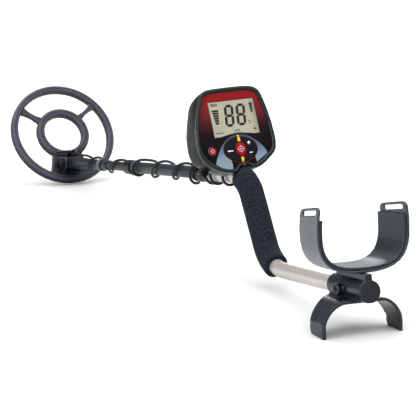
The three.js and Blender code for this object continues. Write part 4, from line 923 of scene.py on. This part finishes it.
def make_icons():
    key_top = 0.6
    # Under the display, the arch rises over the lower edge of the glass.
    make_arch()
    cover = [Vector((-27, -26.45))]
    cover += smooth_line([(-27, -26.45), (-17, -24.6), (-8, -23.3), (0, -22.9), (8, -23.3),
                                                   (17, -24.6), (27, -26.45)])[1:]
    prism("print_glass_cover", [cover], GLASS_TOP + 0.02, GLASS_TOP + 0.16, "black")
    # Yellow pointers above and below the middle key run over the arch and the black keys.
    prism("print_pointer_face", [[(-1.1, -25.9), (-1.35, -28.5), (1.35, -28.5), (1.1, -25.9)],
                                 [(-1.5, -66.0), (1.5, -66.0), (1.6, -65.5), (-1.6, -65.5)]],
          FACE_TOP + 0.16, FACE_TOP + 0.24, "yellow")
    ribs = [bar(-0.5, 0.5, -35.3, -29.2), bar(-0.5, 0.5, -64.8, -58.7)]
    prism("print_pointer_gap", ribs, FACE_TOP + 0.05, 0.62,
          "yellow")
    prism("print_pointer_menu", [[(-1.6, -29.5), (-2.0, -35.4), (-0.62, -35.6), (-0.62, -29.5)],
                                 [(-0.62, -58.4), (-2.0, -58.6), (-1.8, -64.5), (-0.62, -64.5)]],
          key_top + 0.02, key_top + 0.1, "yellow", "menu_key")
    prism("print_pointer_plus", [[(0.62, -29.5), (0.62, -35.6), (2.0, -35.4), (1.6, -29.5)]],
          key_top + 0.02, key_top + 0.1, "yellow", "plus_key")
    prism("print_pointer_minus", [[(0.62, -58.4), (0.62, -64.5), (1.8, -64.5), (2.0, -58.6)]],
          key_top + 0.02, key_top + 0.1, "yellow", "minus_key")
    # A thin red line round the keys, and a target and a standby sign on the two red keys.
    line_outer, line_inner = ellipse(0, -47, 27.3, 18.9, steps=64), ellipse(0, -47, 26.75, 18.35, steps=64)
    prism("print_key_line", [band(line_outer[:33], line_inner[:33]), band(line_outer[32:], line_inner[32:])],
          FACE_TOP + 0.16, FACE_TOP + 0.22, "red_line")
    ring_shapes = half_rings(-44.1, -45.4, 6.0, 5.0)
    prism("print_power_ring", ring_shapes, FACE_TOP + 0.02, FACE_TOP + 0.1, "blue_line")
    prism("print_target", half_rings(0, -47, 4.3, 3.5) + half_rings(0, -47, 1.3, 0.0001)
          + [bar(-5.6, -2.4, -47.35, -46.65), bar(2.4, 5.6, -47.35, -46.65), bar(-0.35, 0.35, -52.6, -49.4),
             bar(-0.35, 0.35, -44.6, -41.4)], 1.62, 1.7, "pale", "pinpoint_key")
    arc_outer = ellipse(-44.1, -45.4, 3.0, 3.0, 125, 415)
    arc_inner = ellipse(-44.1, -45.4, 2.15, 2.15, 125, 415)
    prism("print_standby", [band(arc_outer, arc_inner), bar(-44.5, -43.7, -45.4, -41.9)], 1.22, 1.3, "pale",
          "power_key")
    # A dash on the menu key, a plus and a minus.
    prism("print_menu", [bar(-20.8, -12.2, -49.0, -47.5)], key_top + 0.02, key_top + 0.1, "white", "menu_key")
    plus = [bar(12.0, 16.8, -39.7, -38.3), bar(13.7, 15.1, -41.4, -39.7), bar(13.7, 15.1, -38.3, -36.6)]
    prism("print_plus", plus,
          key_top + 0.02, key_top + 0.1, "white", "plus_key")
    prism("print_minus", [bar(12.6, 17.4, -54.4, -53.1)], key_top + 0.02, key_top + 0.1, "white", "minus_key")


def half_rings(u, w, outer, inner, steps=24):
    a, b = ellipse(u, w, outer, outer, steps=steps), ellipse(u, w, inner, inner, steps=steps)
    half = steps // 2
    return [band(a[:half + 1], b[:half + 1]), band(a[half:], b[half:])]


make_rod()
make_foam()
make_cables()

rounded("coil_housing", "coil", 0.95, 5)
rounded("coil_cover", "skid", 0.95, 2)
rounded("arm_cuff", "cuff", 0.8, 5)
rounded("stand", "stand", 0.8, 5)
rounded("tube_end_plug", "cap", 0.5, 6)
rounded("cuff_pad", "pad", 0.7, 4)
rounded("console_shell", "housing", 0.75, 5)
rounded("console_bezel", "bezel", 0.55, 5)
rounded("stem_tip", "stem", 0.5, 5)
rounded("upper_lock_collar", "black", 0.45, 4)
rounded("lower_lock_collar", "black", 0.45, 4)
rounded("coil_gland", "rubber", 0.4, 5)
rounded("coil_knob", "black", 0.45, 5)
rounded("console_bracket", "black", 0.5, 4)
rounded("cable_plug", "rubber", 0.35, 5)
rounded("plug_ring", "black", 0.3, 3)
rounded("battery_door", "housing", 0.5, 4)
rounded("headphone_jack", "rubber", 0.3, 3)
for name in ("menu_button", "plus_button", "minus_button"):
    rounded(name, "key", 0.3, 3)
rounded("pinpoint_button", "red_key", 0.3, 8)
rounded("power_button", "red_key", 0.25, 8)
for name in ("rod_strap", "middle_strap", "lower_strap"):
    rounded(name, "strap", 0.35, 3)
rounded("clamp_bolt", "dark_steel", 0.3, 2)
rounded("clamp_nut", "dark_steel", 0.3, 2)
bevelled("middle_stem", "stem", 0.4)
bevelled("lower_stem", "stem", 0.4)

keep("face", "faceplate")
keep("screen", "display_window", "display_module")
keep("rubber", "keypad_mat")
keep("board", "circuit_board")
keep("cone", "speaker")
keep("battery", "battery")
keep("rubber", "battery_snap")
keep("steel", "cable_socket", "bracket_screw", "housing_screw_1", "housing_screw_2", "housing_screw_3",
     "housing_screw_4", "cuff_screw_1", "cuff_screw_2")
keep("copper", "transmit_winding", "receive_winding")
keep("black", "upper_collet", "lower_collet", "coil_bolt")
keep("washer", "tilt_washer_left", "tilt_washer_right")

make_icons()
make_display()


# ---- floor, light and camera ----------------------------------------------------------------------------

FLOOR_HALF = 60.0      # metres; far past the edge of any view from above the floor
FLOOR_DROP = 0.0004    # keeps the floor clear of the feet
CAMERA_LENS, SENSOR_WIDTH = 125.48, 36
CAMERA_PLACE = (-0.89848, -2.08234, 0.50620)
CAMERA_RIGHT = (0.90984247, -0.41463292, 0.01631638)
CAMERA_FORWARD = (0.40941301, 0.89059491, -0.19804466)
CAMERA_UP = (0.06758455, 0.18686958, 0.98005719)


def make_stage():
    """A plain pale floor."""
    look = Surface("studio_floor", Roughness=0.9, Specular_IOR_Level=0.2)
    cloud = look.noise(1.3, 3, 0.5)
    look.colour(look.ramp(cloud, (0.3, rgb(190, 190, 189)), (0.7, rgb(196, 196, 195))))
    LOOKS["floor"] = look.material
    corners = ((-1, -1), (1, -1), (1, 1), (-1, 1))
    rows = [(x * FLOOR_HALF, y * FLOOR_HALF, -FLOOR_DROP) for x, y in corners]
    floor = piece("studio_floor", mesh_of("studio_floor", rows, [(0, 1, 2, 3)]), "floor")


def add_light(name, place, target, size, power, colour=(1, 1, 1), size_y=None):
    data = bpy.data.lights.new(name, "AREA")
    data.energy, data.color, data.size = power, colour, size
    if size_y:
        data.shape, data.size_y = "RECTANGLE", size_y
    made = bpy.data.objects.new(name, data)
    made.location = place
    made.rotation_mode = "QUATERNION"
    made.rotation_quaternion = (Vector(target) - Vector(place)).to_track_quat("-Z", "Y")
    bpy.context.scene.collection.objects.link(made)


def make_world():
    world = bpy.data.worlds.new("studio")
    bpy.context.scene.world = world
    world.use_nodes = True
    tree = world.node_tree
    background = tree.nodes["Background"]
    place = tree.nodes.new("ShaderNodeTexCoord").outputs["Generated"]
    split = tree.nodes.new("ShaderNodeSeparateXYZ")
    tree.links.new(place, split.inputs["Vector"])
    sky = tree.nodes.new("ShaderNodeValToRGB")
    tree.links.new(split.outputs["Z"], sky.inputs["Fac"])
    sky.color_ramp.elements[0].position = 0.48
    sky.color_ramp.elements[0].color = (0.08, 0.085, 0.09, 1)
    sky.color_ramp.elements[1].position = 0.80
    sky.color_ramp.elements[1].color = (1.0, 1.0, 1.0, 1)
    tree.links.new(sky.outputs["Color"], background.inputs["Color"])
    background.inputs["Strength"].default_value = 3.4


def make_camera():
    data = bpy.data.cameras.new("photo_view")
    data.lens, data.sensor_width = CAMERA_LENS, SENSOR_WIDTH
    made = bpy.data.objects.new("photo_view", data)
    turned = Matrix((Vector(CAMERA_RIGHT), Vector(CAMERA_UP), -Vector(CAMERA_FORWARD))).transposed().to_4x4()
    made.matrix_world = Matrix.Translation(CAMERA_PLACE) @ turned
    bpy.context.scene.collection.objects.link(made)
    bpy.context.scene.camera = made


make_stage()
make_world()
make_camera()
add_light("key_softbox", (-2.1, -0.8, 0.95), (0, 0, 0.15), 0.9, 34, (0.84, 0.92, 1.0))
add_light("back_softbox", (1.4, 2.2, 1.5), (0, 0.1, 0.1), 1.0, 26, (0.93, 0.96, 1.0))
bpy.context.scene.view_settings.view_transform = "Standard"
